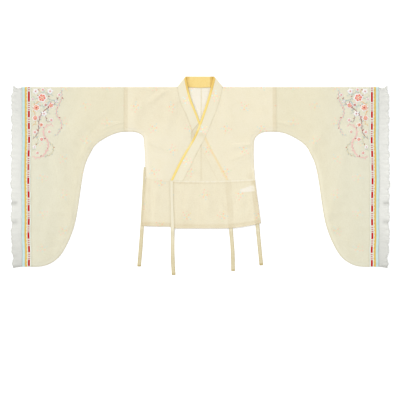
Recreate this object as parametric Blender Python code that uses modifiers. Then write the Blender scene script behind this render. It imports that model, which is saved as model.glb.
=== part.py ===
"""A cross-collared gauze top with wide rounded sleeves and a short waist panel, laid flat.

Metres, +Z up. The cloth lies on z = 0 with its front up, the sleeves along X (+X is the wearer's left)
and the collar towards +Y. The origin is under the middle of the whole outline.

The sizes below are millimetres, as on a cutting table: "x" runs out from the middle, "drop" runs down
from the shoulder fold, and "z" runs up from the surface that the cloth lies on. Each piece of cloth is
one wall: an open surface, worked out from the sizes, that a Solidify modifier gives its thickness.
"""

import bpy
import numpy as np

MM = 0.001

# Cloth and seams
WALL = 1.0
SEAM = 0.3
SLANT_SEAM = 0.42
LAYER = WALL + SEAM

# How high the underside of each layer lies
INNER = LAYER
BETWEEN = 2 * LAYER
OUTER = 3 * LAYER
ON_TOP = 4 * LAYER

# The fold over the shoulder is a half round that takes the back up to the front
FOLD = (OUTER + WALL) / 2
FOLD_STEPS = 4

NAMES = {1: "left", -1: "right"}

# Body
MIDDLE_SEAM = 4.0
ARMHOLE = 380.0
ARCH_TOP = 223.0
ARCH_END = {1: 278.0, -1: 262.0}
ARCH_SIDE = {1: 268.0, -1: 282.0}
ARCH_WIDTH = {1: 68.0, -1: 60.0}
ARCH_STEPS = 5
BACK_NECK = 6.2
WAIST_FRONT = 470.0
WAIST_BACK = 465.0
WAIST_SIDE = {1: 460.0, -1: 448.0}
LEFT_SEAM_END = 400.0
PAST_HEM = 720.0
LEVEL_END = 288.0

BODY_COLUMNS = 10
BODY_LOW_ROWS = 4
OVERLAP_COLUMNS = 4

# The side below the arch, as (x, drop): the left one flares out to the waist, and the right one runs in
SIDE_EDGE = {
    1: ((266.5, 340), (268, 385), (273, 460)),
    -1: ((276.5, 335), (274, 400), (274, 448)),
}

# Waist panel. The left front's hem is level out to HEM_LEVEL, and then rises to the side. The right
# front spreads over the tie beside it, and the back stops short of that tie
PEPLUM_TOP_SIDE = {1: 273.0, -1: 272.0}
PEPLUM_HEM_SIDE = {1: 303.0, -1: 292.0}
BACK_HEM_RIGHT = 280.0
PEPLUM_EDGE_TOP = {1: -147.0, -1: 143.0}
PEPLUM_EDGE_HEM = {1: -138.0, -1: 158.0}
HEM_MIDDLE = {1: 707.0, -1: 700.0}
HEM_BACK = 699.0
HEM_SIDE = {1: 680.0, -1: 694.0}
HEM_LEVEL = {1: 100.0, -1: 0.0}
PEPLUM_COLUMNS = 13
PEPLUM_ROWS = 7
FLAT_ROWS = 3

# Collar
# Each row is (seam_x, seam_drop, edge_x, edge_drop), from the neck corner down to the waist
COLLAR_LEFT = (
    (112.1, 1.6, 67.6, -52),
    (92.5, 80, 38, 57),
    (58, 173, 7, 152),
    (24, 253, -24, 234),
    (-7, 311, -58, 297),
    (-42.5, 383, -97.5, 364),
    (-87, 469, -148, 469),
)
COLLAR_RIGHT = (
    (-113.1, 1.6, -71.6, -52),
    (-96, 79, -47.5, 53),
    (-64.5, 150, -16, 134),
    (-37.5, 222, 10, 205),
    (-1, 295, 45, 283),
    (35, 365, 82, 353),
    (86, 463, 142, 463),
)
COLLAR_TOP = 53.6
COLLAR_COLUMNS_ACROSS = 4
COLLAR_BACK_ROWS = 9
NECK_STEPS = 6
CROSSING_STEPS = 5
CROSSING_START = 0.03
EDGING_SHARE = 0.2
FACING_INSET = 0.04
FACING_COLUMNS = 3

# Sleeve: its lower edge as (x, drop), from the armhole to the cuff
SLEEVE_SEAM = 380.0
SLEEVE_EDGE = (
    (380, 223),
    (437, 236),
    (516, 282),
    (550, 331),
    (580, 405),
    (606, 562),
    (634, 706),
    (684, 819),
    (729, 869),
    (782, 894),
    (844, 898),
)
SLEEVE_ALONG = 20
SLEEVE_DOWN = 15
SLEEVE_BACK_DOWN = 4
SLEEVE_CROWDING = 1.25

# Cuff, from the sleeve outwards: where each band starts and ends
CUFF_DROP = 898.0
BAND_ROWS = 12
BAND_BACK_ROWS = 2
RIBBON = (844.0, 864.0)
TRIM = (864.0, 875.5)
BINDING = (875.5, 888.5)
FRILL = (888.5, 942.0)
FRILL_COLUMNS = 3
FRILL_STEPS = 4
FRILL_BACK_STEPS = 2
FRILL_PITCH = 32.0
FRILL_HEIGHT = 3.6
FRILL_WANDER = 4.0
FRILL_RISE = 4.0
FRILL_FALL = 7.0

# How the frill's waves crowd and open: a share of a wave, and the length over which it comes and goes
FRILL_UNEVEN = ((0.3, 71.0), (0.16, 29.0))
FRILL_SWAY = 53.0

# Ties: the middle line and the width as (x, drop, width), from the seam to the free end
TIE_SETTLE = 46.0
TIE_ROWS = 13
TIE_CLEAR = 3.0
TIE_RIGHT_SIDE = ((-278.5, 400, 8), (-281.5, 500, 13), (-290, 693, 17), (-305.5, 897, 18))
TIE_LEFT_FRONT = ((-143, 470.8, 15), (-142, 560, 15), (-138, 708, 17), (-138, 830, 18), (-132.5, 940, 18))
TIE_RIGHT_FRONT = ((141, 466, 17), (147, 560, 17), (153, 705, 18), (161, 800, 18), (164.5, 920, 18))
TIE_LEFT_SIDE = ((264, 466, 17), (273, 560, 17), (285.5, 688, 18), (305.5, 891, 18))

# Tag sewn into the left side seam, wider there than at its free end
TAG_LENGTH = 72.0
TAG_WIDTH = 34.0
TAG_FREE_WIDTH = 18.0
TAG_MIDDLE = (236.0, 512.0)
TAG_TURN = 13.0

# Soft folds: the middle, the length, the turn from level, the half width and the height
FOLD_COLUMNS = ("x", "drop", "length", "turn", "width", "height")
SLEEVE_FOLDS = (
    (432, 176, 110, -6, 13, 1.8),
    (600, 190, 300, -58, 38, 3.2),
    (560, 300, 180, 55, 22, 2.4),
    (700, 420, 420, 84, 40, 3.6),
    (792, 330, 380, 88, 30, 2.6),
    (640, 640, 260, 62, 30, 3.0),
    (762, 710, 300, -76, 34, 3.2),
)
BODY_FOLDS = (
    (-215, 48, 120, 38, 15, 1.8),
    (-225, 275, 130, -30, 17, 2.0),
    (-165, 170, 240, 70, 30, 2.4),
    (-310, 120, 160, 62, 24, 2.2),
    (215, 288, 160, 4, 17, 2.2),
    (205, 350, 150, 20, 17, 2.0),
    (150, 150, 240, -72, 30, 2.4),
    (310, 120, 160, -62, 24, 2.2),
    (40, 585, 150, 86, 22, 2.4),
    (205, 590, 140, -84, 20, 2.2),
    (-60, 570, 120, 80, 20, 2.0),
    (-225, 575, 150, 86, 20, 2.2),
)
ROLL = 24.0
SINK = 60.0
SINK_START = 4.0
FOLD_FADE = 30.0
FINE_STEPS = 400

# The middle of the whole outline, from the collar's top to the longest tie's end
CENTRE_DROP = (TIE_LEFT_FRONT[-1][1] - COLLAR_TOP) / 2

COLOURS = {
    "gauze": (243, 236, 210),
    "sleeve_gauze": (235, 228, 202),
    "collar_gauze": (245, 239, 212),
    "gold": (252, 224, 145),
    "ribbon": (230, 213, 209),
    "trim": (237, 205, 113),
    "binding": (207, 234, 234),
    "frill": (232, 232, 227),
    "tag": (248, 246, 240),
}
CLOTH_ROUGHNESS = 0.85


def smooth(value):
    """0 below 0, 1 above 1, with an easy start and end between."""
    value = np.clip(value, 0, 1)
    return value * value * (3 - 2 * value)


def blend(start, end, share):
    return start + (end - start) * share


def spline(values, at):
    """Natural cubic through evenly numbered values, one column at a time, read at the given numbers."""
    values = np.asarray(values, float)
    count = len(values)
    bend_of = np.eye(count) * 4
    bend_of[0, 0] = bend_of[-1, -1] = 1
    for row in range(1, count - 1):
        bend_of[row, row - 1] = bend_of[row, row + 1] = 1
    right = np.zeros_like(values)
    right[1:-1] = 6 * (values[2:] - 2 * values[1:-1] + values[:-2])
    bend = np.linalg.solve(bend_of, right)
    span = np.clip(np.floor(at).astype(int), 0, count - 2)
    after = (np.asarray(at) - span)[:, None]
    before = 1 - after
    curve = before * values[span] + after * values[span + 1]
    return curve + ((before**3 - before) * bend[span] + (after**3 - after) * bend[span + 1]) / 6


def distance_to(path, x, drop):
    """How far each point lies from a path of straight lines."""
    nearest = np.full(np.shape(x), np.inf)
    for (x0, d0), (x1, d1) in zip(path[:-1], path[1:]):
        run = np.array([x1 - x0, d1 - d0])
        share = ((x - x0) * run[0] + (drop - d0) * run[1]) / (run @ run)
        share = np.clip(share, 0, 1)
        gap = np.hypot(x - x0 - share * run[0], drop - d0 - share * run[1])
        nearest = np.minimum(nearest, gap)
    return nearest


def arch(side):
    """The rounded corner under the arm, from the end of the armhole down to the straight side."""
    turn = np.linspace(np.pi / 2, 0, ARCH_STEPS + 1)
    x = ARCH_SIDE[side] + ARCH_WIDTH[side] * (1 - np.cos(turn))
    drop = ARCH_END[side] - (ARCH_END[side] - ARCH_TOP) * np.sin(turn)
    return np.stack([x, drop], axis=1)


def side_x(side, drop):
    """x of the outline at a drop, down the arch and the side."""
    line = np.concatenate([arch(side), SIDE_EDGE[side]])
    return np.interp(drop, line[:, 1], line[:, 0])


def sleeve_edge(count):
    """Points at even distances along the sleeve's lower edge, from the armhole to the cuff."""
    fine = spline(SLEEVE_EDGE, np.linspace(0, len(SLEEVE_EDGE) - 1, FINE_STEPS))
    along = np.concatenate([[0], np.cumsum(np.hypot(*np.diff(fine, axis=0).T))])
    at = np.linspace(0, along[-1], count)
    return np.stack([np.interp(at, along, fine[:, 0]), np.interp(at, along, fine[:, 1])], axis=1)


def seam_path(side):
    """The side and underarm seam, where the front sinks to the back: the right one runs down the
    waist panel too, and the left one stops short of the waist, over the tie inside."""
    if side > 0:
        low = [(side_x(side, LEFT_SEAM_END), LEFT_SEAM_END)]
    else:
        low = [(PEPLUM_HEM_SIDE[side], PAST_HEM), (PEPLUM_TOP_SIDE[side], WAIST_SIDE[side])]
    outward = [(FRILL[1] + ROLL, CUFF_DROP)]
    return np.concatenate([low, arch(side)[::-1], sleeve_edge(SLEEVE_ALONG + 1), outward])


def folds(x, drop):
    """Sum of the soft folds: each is a ridge, bell-shaped across and along. Sleeves are a mirrored pair."""
    total = np.zeros(np.shape(x))
    for table, place in ((SLEEVE_FOLDS, np.abs(x)), (BODY_FOLDS, x)):
        for row in table:
            fold = dict(zip(FOLD_COLUMNS, row))
            turn = np.radians(fold["turn"])
            from_x = place - fold["x"]
            from_drop = drop - fold["drop"]
            along = from_x * np.cos(turn) - from_drop * np.sin(turn)
            across = from_x * np.sin(turn) + from_drop * np.cos(turn)
            bell = np.exp(-((across / fold["width"]) ** 2) - (2 * along / fold["length"]) ** 2)
            total = total + fold["height"] * bell
    return total


def collar_rows(side, at):
    """Seam and edge of the collar's front, at shares from the neck corner (0) to the lower end (1)."""
    table = COLLAR_LEFT if side > 0 else COLLAR_RIGHT
    return spline(table, np.asarray(at) * (len(table) - 1))


def collar_steps(side):
    """Shares along the collar's front, one of them where its seam meets the centre-front seam."""
    fine = np.linspace(0, 1, FINE_STEPS)
    seam_x = collar_rows(side, fine)[:, 0] * side
    crossing = np.interp(-MIDDLE_SEAM * side, -seam_x, fine)
    above = np.linspace(0, crossing, NECK_STEPS + 1)
    below = np.linspace(crossing, 1, CROSSING_STEPS + 1)
    below[0] += CROSSING_START
    return above, below


def outer_edge(drop):
    """x of the outer front's free edge: the left collar's, and below it the waist panel's."""
    rows = collar_rows(1, np.linspace(0, 1, FINE_STEPS))
    return np.interp(drop, rows[:, 3], rows[:, 2])


def top_height(side, x, drop):
    """z of the front's upper surface. It sinks towards the side seam, and the right front sinks under
    the left one as well."""
    lifted = smooth(distance_to(seam_path(side), np.abs(x), drop) / ROLL)
    if side < 0:
        lifted = lifted * smooth((outer_edge(drop) - x - SINK_START) / SINK)
    bulge = folds(x, drop) * smooth((drop - FOLD) / FOLD_FADE)
    return WALL + INNER + (OUTER - INNER + bulge) * lifted


def waist(side, x, middle):
    """Drop of the waist seam: a shallow bow, lowest in the middle."""
    return middle - (middle - WAIST_SIDE[side]) * (x / SIDE_EDGE[side][-1][0]) ** 2


def hem(side, x, middle):
    """Drop of a waist panel's hem: level near the middle, and rising towards the side."""
    share = (np.abs(x) - HEM_LEVEL[side]) / (PEPLUM_HEM_SIDE[side] - HEM_LEVEL[side])
    return middle - (middle - HEM_SIDE[side]) * np.clip(share, 0, 1) ** 2


def clear_scene():
    for old in list(bpy.data.objects):
        bpy.data.objects.remove(old, do_unlink=True)


def material(name):
    found = bpy.data.materials.get(name)
    if found:
        return found
    made = bpy.data.materials.new(name)
    made.use_nodes = True
    shader = made.node_tree.nodes["Principled BSDF"]
    linear = [((c / 255 + 0.055) / 1.055) ** 2.4 for c in COLOURS[name]]
    shader.inputs["Base Color"].default_value = (*linear, 1)
    shader.inputs["Roughness"].default_value = CLOTH_ROUGHNESS
    shader.inputs["Metallic"].default_value = 0
    made.diffuse_color = (*linear, 1)
    return made


def cloth(name, x, drop, z, finish):
    """One piece of cloth from the grid of its outer surface. The last row lies face up, and the wall
    grows inwards from the grid."""
    points = np.stack([x, CENTRE_DROP - drop, z], axis=-1) * MM
    rows, columns = points.shape[:2]
    number = np.arange(rows * columns).reshape(rows, columns)
    faces = np.stack([number[:-1, :-1], number[1:, :-1], number[1:, 1:], number[:-1, 1:]], axis=-1)
    down = points[-1, 0] - points[-2, 0]
    over = points[-1, -1] - points[-1, 0]
    if np.cross(down, over)[2] < 0:
        faces = faces[..., ::-1]
    mesh = bpy.data.meshes.new(name)
    mesh.from_pydata(points.reshape(-1, 3).tolist(), [], faces.reshape(-1, 4).tolist())
    mesh.shade_smooth()
    mesh.materials.append(material(finish))
    piece = bpy.data.objects.new(name, mesh)
    piece.parent = origin
    garment.objects.link(piece)
    wall = piece.modifiers.new("Wall", "SOLIDIFY")
    wall.thickness = WALL * MM
    wall.offset = -1
    wall.use_even_offset = True
    return piece


def across(start, end, columns):
    """Rows of x from a start to an end, each with the same number of columns."""
    share = np.linspace(0, 1, columns)
    return blend(np.asarray(start, float)[:, None], np.asarray(end, float)[:, None], share)


def like(drop, x):
    """A drop for each row, repeated over the row."""
    return np.broadcast_to(np.asarray(drop, float)[:, None], x.shape)


def folded(side, back, top_x, front):
    """The grid of a length that is folded over the shoulder line: flat up the back, half round over
    the fold and down the front. back and front are (x, drop), with x outward from the middle."""
    turn = np.linspace(0, np.pi, FOLD_STEPS + 1)[:, None]
    fold_x = np.broadcast_to(top_x, (len(turn), len(top_x)))
    x = np.concatenate([back[0], fold_x, front[0]])
    drop = np.concatenate([back[1], FOLD * (1 - np.sin(turn)) + 0 * fold_x, front[1]])
    flat = np.zeros(back[0].shape)
    round_z = FOLD * (1 - np.cos(turn)) + 0 * fold_x
    z = np.concatenate([flat, round_z, top_height(side, front[0] * side, front[1])])
    return x * side, drop, z


def body(side):
    """Front and back of one half, from the middle seam out to the side, the arch under the arm and the
    armhole. The rows down to the neck's end are level, and those below it bow down to the waist seam."""
    corner = arch(side)
    middle = MIDDLE_SEAM * side + SEAM / 2
    armhole = ARMHOLE - SEAM / 2
    neck = collar_rows(side, collar_steps(side)[0])
    neck_x = neck[:, 0] * side + SLANT_SEAM
    top_x = np.linspace(neck_x[0] + FOLD, armhole, BODY_COLUMNS)

    level = np.concatenate([neck[1:, 1], corner[:, 1], [ARCH_TOP - SEAM, FOLD_FADE, LEVEL_END]])
    level = np.unique(level[level <= LEVEL_END])
    inner = np.interp(level, neck[:, 1], neck_x)
    outer = side_x(side, level)
    outer[level < ARCH_TOP] = armhole
    level_x = across(inner, outer, BODY_COLUMNS)

    share = np.linspace(0, 1, BODY_LOW_ROWS + 1)[1:, None]
    low_outer = side_x(side, blend(LEVEL_END, WAIST_SIDE[side], share[:, 0]))
    low_x = across(np.full(BODY_LOW_ROWS, middle), low_outer, BODY_COLUMNS)
    low_drop = blend(LEVEL_END, waist(side, low_x, WAIST_FRONT) - SEAM / 2, share)
    front = np.concatenate([level_x, low_x]), np.concatenate([like(level, level_x), low_drop])

    back_level = np.concatenate([[LEVEL_END], corner[::-1, 1], [ARCH_TOP - SEAM, BACK_NECK + SEAM]])
    back_outer = np.concatenate([[side_x(side, LEVEL_END)], corner[::-1, 0], [armhole, armhole]])
    back_x = across(np.full(len(back_level), middle), back_outer, BODY_COLUMNS)
    back_drop = blend(LEVEL_END, waist(side, low_x, WAIST_BACK) - SEAM / 2, share)
    back = (
        np.concatenate([low_x[::-1], back_x]),
        np.concatenate([back_drop[::-1], like(back_level, back_x)]),
    )
    return cloth(f"body_{NAMES[side]}", *folded(side, back, top_x, front), "gauze")


def overlap(side):
    """The front's extra breadth past the middle seam: it narrows upwards between that seam and the
    collar's seam."""
    rows = collar_rows(side, collar_steps(side)[1])
    middle = MIDDLE_SEAM * side - SEAM / 2
    x = across(rows[:, 0] * side + SLANT_SEAM, np.full(len(rows), middle), OVERLAP_COLUMNS)
    drop = np.array(like(rows[:, 1], x))
    drop[-1] = waist(side, x[-1], WAIST_FRONT) - SEAM / 2
    x = x * side
    return cloth(f"overlap_{NAMES[side]}", x, drop, top_height(side, x, drop), "gauze")


def collar_front(side, share):
    """The collar's front as a grid: rows from the neck corner to the waist seam, and a column for each
    share of its breadth, from its seam (0) to its free edge (1)."""
    above, below = collar_steps(side)
    rows = collar_rows(side, np.concatenate([above, below]))
    x = blend(rows[:, :1], rows[:, 2:3], share)
    drop = blend(rows[:, 1:2], rows[:, 3:4], share)
    drop[-1] = waist(side, x[-1], WAIST_FRONT) - SEAM / 2
    return x, drop, top_height(side, x, drop)


def collar_back(share, steps):
    """x and drop of the collar's back between the neck corners. Its seam dips in the middle."""
    start, end = (collar_rows(side, [0.0])[0] for side in (1, -1))
    seam_x, seam_drop, edge_x, edge_drop = (blend(a, b, steps)[:, None] for a, b in zip(start, end))
    seam_drop = seam_drop + (BACK_NECK - start[1]) * (1 - np.abs(2 * steps[:, None] - 1))
    return blend(seam_x, edge_x, share), blend(seam_drop, edge_drop, share)


def collar():
    """One strip: up the left front, over the neck corner, along the back neck, over the other corner
    and down the right front. Its outer face lies down at the back, so it turns over at each corner."""
    share = np.linspace(0, 1, COLLAR_COLUMNS_ACROSS)
    back_x, back_drop = collar_back(share, np.linspace(0, 1, COLLAR_BACK_ROWS))
    turn = np.linspace(0, np.pi, FOLD_STEPS + 1)[1:-1, None]
    stretches = {0: (back_x, back_drop, 0 * back_x)}
    for side in (1, -1):
        front = collar_front(side, share)
        x, drop = front[0][0], front[1][0]
        run = np.array([x[-1] - x[0], drop[-1] - drop[0]]) * side / np.hypot(x[-1] - x[0], drop[-1] - drop[0])
        reach = FOLD * np.sin(turn)
        corner = x - run[1] * reach, drop + run[0] * reach, FOLD * (1 - np.cos(turn)) + 0 * x
        stretches[side] = [np.concatenate([a, b]) for a, b in zip(corner, front)]
    parts = ([part[::-1] for part in stretches[1]], stretches[0], stretches[-1])
    return cloth("collar", *(np.concatenate(part) for part in zip(*parts)), "collar_gauze")


def edging(side):
    """The gold edge of the collar's front, made from the collar's points and moved out."""
    x, drop, z = collar_front(side, np.array([1 - EDGING_SHARE, 1.0]))
    return cloth(f"collar_edging_{NAMES[side]}", x, drop, z + LAYER, "gold")


def facing():
    """The gold facing on the inside of the collar's back, which lies face up."""
    share = np.linspace(FACING_INSET, 1, FACING_COLUMNS)
    x, drop = collar_back(share, np.linspace(0, 1, COLLAR_BACK_ROWS))
    return cloth("collar_facing", x[::-1], drop[::-1], np.full(x.shape, LAYER + WALL), "gold")


def sleeve(side):
    """A folded length between the armhole and the cuff. Its columns fan out from the shoulder fold to
    even steps along the rounded lower edge."""
    low = sleeve_edge(SLEEVE_ALONG + 1)
    ends = SLEEVE_SEAM + SEAM / 2, RIBBON[0] - SEAM / 2
    top_x = np.linspace(*ends, SLEEVE_ALONG + 1)
    low_x = np.clip(low[:, 0], *ends)
    down = 1 - (1 - np.linspace(0, 1, SLEEVE_DOWN + 1)[1:, None]) ** SLEEVE_CROWDING
    up = np.linspace(1, 0, SLEEVE_BACK_DOWN + 1)[:-1, None]
    grids = [(blend(top_x, low_x, way), blend(FOLD, low[:, 1], way)) for way in (up, down)]
    return cloth(f"sleeve_{NAMES[side]}", *folded(side, grids[0], top_x, grids[1]), "sleeve_gauze")


def cuff_grid(side, reach, columns, back_drop, front_drop):
    """A folded band round the sleeve's mouth, from one distance out to another."""
    x = np.linspace(reach[0] + SEAM / 2, reach[1] - SEAM / 2, columns)
    back_x = np.broadcast_to(x, (len(back_drop), columns))
    front_x = np.broadcast_to(x, (len(front_drop), columns))
    return folded(side, (back_x, like(back_drop, back_x)), x, (front_x, like(front_drop, front_x)))


def cuff_band(kind, side, reach):
    """A flat band of the cuff, sewn edge to edge to its neighbours."""
    down = 1 - (1 - np.linspace(0, 1, BAND_ROWS + 1)[1:]) ** SLEEVE_CROWDING
    front = blend(FOLD, CUFF_DROP, down)
    back = np.linspace(CUFF_DROP, FOLD, BAND_BACK_ROWS + 1)[:-1]
    return cloth(f"cuff_{kind}_{NAMES[side]}", *cuff_grid(side, reach, 2, back, front), kind)


def frill(side):
    """The gathered frill: its root is flat against the binding, and towards its edge it ripples up and
    out in uneven waves. The back, which lies on the surface, ripples along its edge alone."""
    waves = int(CUFF_DROP / FRILL_PITCH)
    front = np.linspace(FOLD, CUFF_DROP, waves * FRILL_STEPS + 1)[1:]
    back = np.linspace(CUFF_DROP, FOLD, waves * FRILL_BACK_STEPS + 1)[:-1]
    x, drop, z = cuff_grid(side, FRILL, FRILL_COLUMNS, back, front)
    out = (np.abs(x) - FRILL[0]) / (FRILL[1] - FRILL[0])
    wave = drop / FRILL_PITCH + sum(share * np.sin(drop / length) for share, length in FRILL_UNEVEN)
    lying_up = np.zeros(x.shape)
    lying_up[-len(front):] = smooth((front - FOLD) / FOLD_FADE)[:, None]
    z = z + lying_up * out * FRILL_HEIGHT * (1 - np.cos(2 * np.pi * wave)) / 2
    x = x + side * out * FRILL_WANDER * np.sin(np.pi * wave + 1) * np.cos(drop / FRILL_SWAY)
    drop = drop + out * blend(-FRILL_RISE, FRILL_FALL, drop / CUFF_DROP)
    return cloth(f"cuff_frill_{NAMES[side]}", x, drop, z, "frill")


def panel(edge_top, edge_hem, side_top, side_hem, rows):
    """x of a waist panel, from its front edge to its side."""
    down = np.linspace(0, 1, rows)
    return across(blend(edge_top, edge_hem, down), blend(side_top, side_hem, down), PEPLUM_COLUMNS)


def peplum_front(side):
    x = panel(
        PEPLUM_EDGE_TOP[side],
        PEPLUM_EDGE_HEM[side],
        PEPLUM_TOP_SIDE[side] * side,
        PEPLUM_HEM_SIDE[side] * side,
        PEPLUM_ROWS,
    )
    down = np.linspace(0, 1, PEPLUM_ROWS)[:, None]
    drop = blend(waist(side, x, WAIST_FRONT) + SEAM / 2, hem(side, x, HEM_MIDDLE[side]), down)
    return cloth(f"peplum_{NAMES[side]}", x, drop, top_height(side, x, drop), "gauze")


def peplum_back():
    ends = -PEPLUM_TOP_SIDE[-1], -BACK_HEM_RIGHT, PEPLUM_TOP_SIDE[1], PEPLUM_HEM_SIDE[1]
    x = panel(*ends, FLAT_ROWS)
    down = np.linspace(0, 1, FLAT_ROWS)[:, None]
    halves = [
        blend(waist(side, x, WAIST_BACK) + SEAM / 2, hem(side, x, HEM_BACK), down) for side in (1, -1)
    ]
    drop = np.where(x > 0, halves[0], halves[1])
    return cloth("peplum_back", x, drop, np.full(x.shape, WALL), "gauze")


def tie(name, table, layer, leaves):
    """A flat tie along its middle line. It lies on a layer of the garment, and past the drop where it
    leaves the hem it settles on the surface below."""
    middle, down, width = spline(table, np.linspace(0, len(table) - 1, TIE_ROWS)).T
    x = across(middle - width / 2, middle + width / 2, 2)
    drop = like(down, x)
    z = WALL + layer * (1 - smooth((drop - leaves) / TIE_SETTLE))
    return cloth(name, x, drop, z, "gauze")


def side_tag():
    """The folded tag, level with its length but for a small turn."""
    along = np.linspace(-TAG_LENGTH / 2, TAG_LENGTH / 2, FLAT_ROWS)
    aside = np.array([[-1], [1]]) * np.linspace(TAG_FREE_WIDTH, TAG_WIDTH, FLAT_ROWS) / 2
    turn = np.radians(TAG_TURN)
    x = TAG_MIDDLE[0] + along * np.cos(turn) + aside * np.sin(turn)
    drop = TAG_MIDDLE[1] - along * np.sin(turn) + aside * np.cos(turn)
    return cloth("side_tag", x, drop, np.full(x.shape, INNER + WALL), "tag")


clear_scene()
garment = bpy.data.collections.new("hanfu_top")
bpy.context.scene.collection.children.link(garment)
origin = bpy.data.objects.new("hanfu_top_origin", None)
garment.objects.link(origin)

for half in (1, -1):
    body(half)
    overlap(half)
    edging(half)
    sleeve(half)
    cuff_band("ribbon", half, RIBBON)
    cuff_band("trim", half, TRIM)
    cuff_band("binding", half, BINDING)
    frill(half)
    peplum_front(half)
collar()
facing()
peplum_back()
tie("tie_right_side", TIE_RIGHT_SIDE, 0, HEM_MIDDLE[-1])
tie("tie_left_front", TIE_LEFT_FRONT, ON_TOP, HEM_MIDDLE[1] + TIE_CLEAR)
tie("tie_right_front", TIE_RIGHT_FRONT, BETWEEN, HEM_MIDDLE[1] + TIE_CLEAR)
tie("tie_left_side", TIE_LEFT_SIDE, BETWEEN, HEM_MIDDLE[1] + TIE_CLEAR)
side_tag()
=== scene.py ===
"""The looks of a cross-collared gauze top with wide rounded sleeves and a short waist panel, laid flat.

The sizes are millimetres, as on a cutting table: "x" runs out from the middle (+ is the wearer's left),
"drop" runs down from the shoulder fold, and "z" runs up from the surface that the cloth lies on. Each
piece of cloth is a thin shell on the form of its solid, worked out on a fine grid. Its UV map, "Cloth",
is the flat cloth in metres, and its attribute "shade" says where the cloth is darker (above 0) or paler:
partly doubled cloth, seams and what shows through, and partly painted shade, painted shadows and
painted highlights.
"""

import bpy
import bmesh
import numpy as np
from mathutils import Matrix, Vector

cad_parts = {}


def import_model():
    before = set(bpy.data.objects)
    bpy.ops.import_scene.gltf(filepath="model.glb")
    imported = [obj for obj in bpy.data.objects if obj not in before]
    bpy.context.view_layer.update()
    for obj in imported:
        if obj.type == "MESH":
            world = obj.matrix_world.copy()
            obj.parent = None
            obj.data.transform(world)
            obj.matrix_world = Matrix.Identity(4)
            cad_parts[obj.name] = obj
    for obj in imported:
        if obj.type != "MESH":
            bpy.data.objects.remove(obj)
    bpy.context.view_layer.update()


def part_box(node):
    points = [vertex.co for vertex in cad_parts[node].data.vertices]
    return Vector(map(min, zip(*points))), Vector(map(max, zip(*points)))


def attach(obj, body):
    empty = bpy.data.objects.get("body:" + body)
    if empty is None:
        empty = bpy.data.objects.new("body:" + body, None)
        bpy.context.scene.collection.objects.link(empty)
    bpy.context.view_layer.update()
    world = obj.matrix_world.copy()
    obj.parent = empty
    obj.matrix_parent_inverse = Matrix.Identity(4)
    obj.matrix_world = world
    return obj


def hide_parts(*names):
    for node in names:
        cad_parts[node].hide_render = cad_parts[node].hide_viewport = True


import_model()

MM = 0.001
UP = np.array([0, 0, 1.0])
NAMES = {1: "left", -1: "right"}

# Cloth and seams, as in the solids
WALL = 1.0
GAP = 0.3
SEAM = 0.08
SLANT_SEAM = 0.1
LAYER = WALL + GAP
INNER = LAYER
BETWEEN = 2 * LAYER
OUTER = 3 * LAYER
ON_TOP = 4 * LAYER
FOLD = (OUTER + WALL) / 2
SHELL = 0.45
THIN_SHELL = 0.3
HAIR = 0.15

# The shoulder fold's place in the frame
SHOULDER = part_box("sleeve_left")[1][1] / MM

# Body
MIDDLE_SEAM = 4.0
ARMHOLE = 380.0
ALLOWANCE = 20.0
ARCH_TOP = 223.0
ARCH_END = {1: 278.0, -1: 262.0}
ARCH_SIDE = {1: 268.0, -1: 282.0}
ARCH_WIDTH = {1: 68.0, -1: 60.0}
ARCH_STEPS = 14
BACK_NECK = 6.2
WAIST_FRONT = 470.0
WAIST_BACK = 465.0
WAIST_SIDE = {1: 460.0, -1: 448.0}
LEFT_SEAM_END = 400.0
PAST_HEM = 720.0
LEVEL_END = 288.0

# The side below the arch, as (x, drop): the left one flares out to the waist, and the right one runs in
SIDE_EDGE = {
    1: ((266.5, 340), (268, 385), (273, 460)),
    -1: ((276.5, 335), (274, 400), (274, 448)),
}

# Waist panel
PEPLUM_TOP_SIDE = {1: 273.0, -1: 272.0}
PEPLUM_HEM_SIDE = {1: 303.0, -1: 292.0}
BACK_HEM_RIGHT = 280.0
PEPLUM_EDGE_TOP = {1: -147.0, -1: 143.0}
PEPLUM_EDGE_HEM = {1: -138.0, -1: 158.0}
HEM_MIDDLE = {1: 707.0, -1: 700.0}
HEM_BACK = 699.0
HEM_SIDE = {1: 680.0, -1: 694.0}
HEM_LEVEL = {1: 100.0, -1: 0.0}
HEM_DEPTH = 21.0
EDGE_HEM_DEPTH = 9.0

# Collar: (seam_x, seam_drop, edge_x, edge_drop), from the neck corner down to the waist
COLLAR_LEFT = (
    (112.1, 1.6, 67.6, -52),
    (92.5, 80, 38, 57),
    (58, 173, 7, 152),
    (24, 253, -24, 234),
    (-7, 311, -58, 297),
    (-42.5, 383, -97.5, 364),
    (-87, 469, -148, 469),
)
COLLAR_RIGHT = (
    (-113.1, 1.6, -71.6, -52),
    (-96, 79, -47.5, 53),
    (-64.5, 150, -16, 134),
    (-37.5, 222, 10, 205),
    (-1, 295, 45, 283),
    (35, 365, 82, 353),
    (86, 463, 142, 463),
)
EDGING_SHARE = 0.2
EDGING_CUT = 13.0
COLLAR_BREADTH = 56.0
FACING_INSET = 0.04

# The wedge of painted shadow at the crossing: (drop, breadth)
DIVE_SHADOW = ((176, 0), (185, 8), (221.5, 25), (252.5, 14), (266, 0))

# Sleeve: its lower edge as (x, drop), from the armhole to the cuff
SLEEVE_SEAM = 380.0
SLEEVE_EDGE = (
    (380, 223), (437, 236), (516, 282), (550, 331), (580, 405), (606, 562),
    (634, 706), (684, 819), (729, 869), (782, 894), (844, 898),
)
SLEEVE_CROWDING = 1.25

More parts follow.
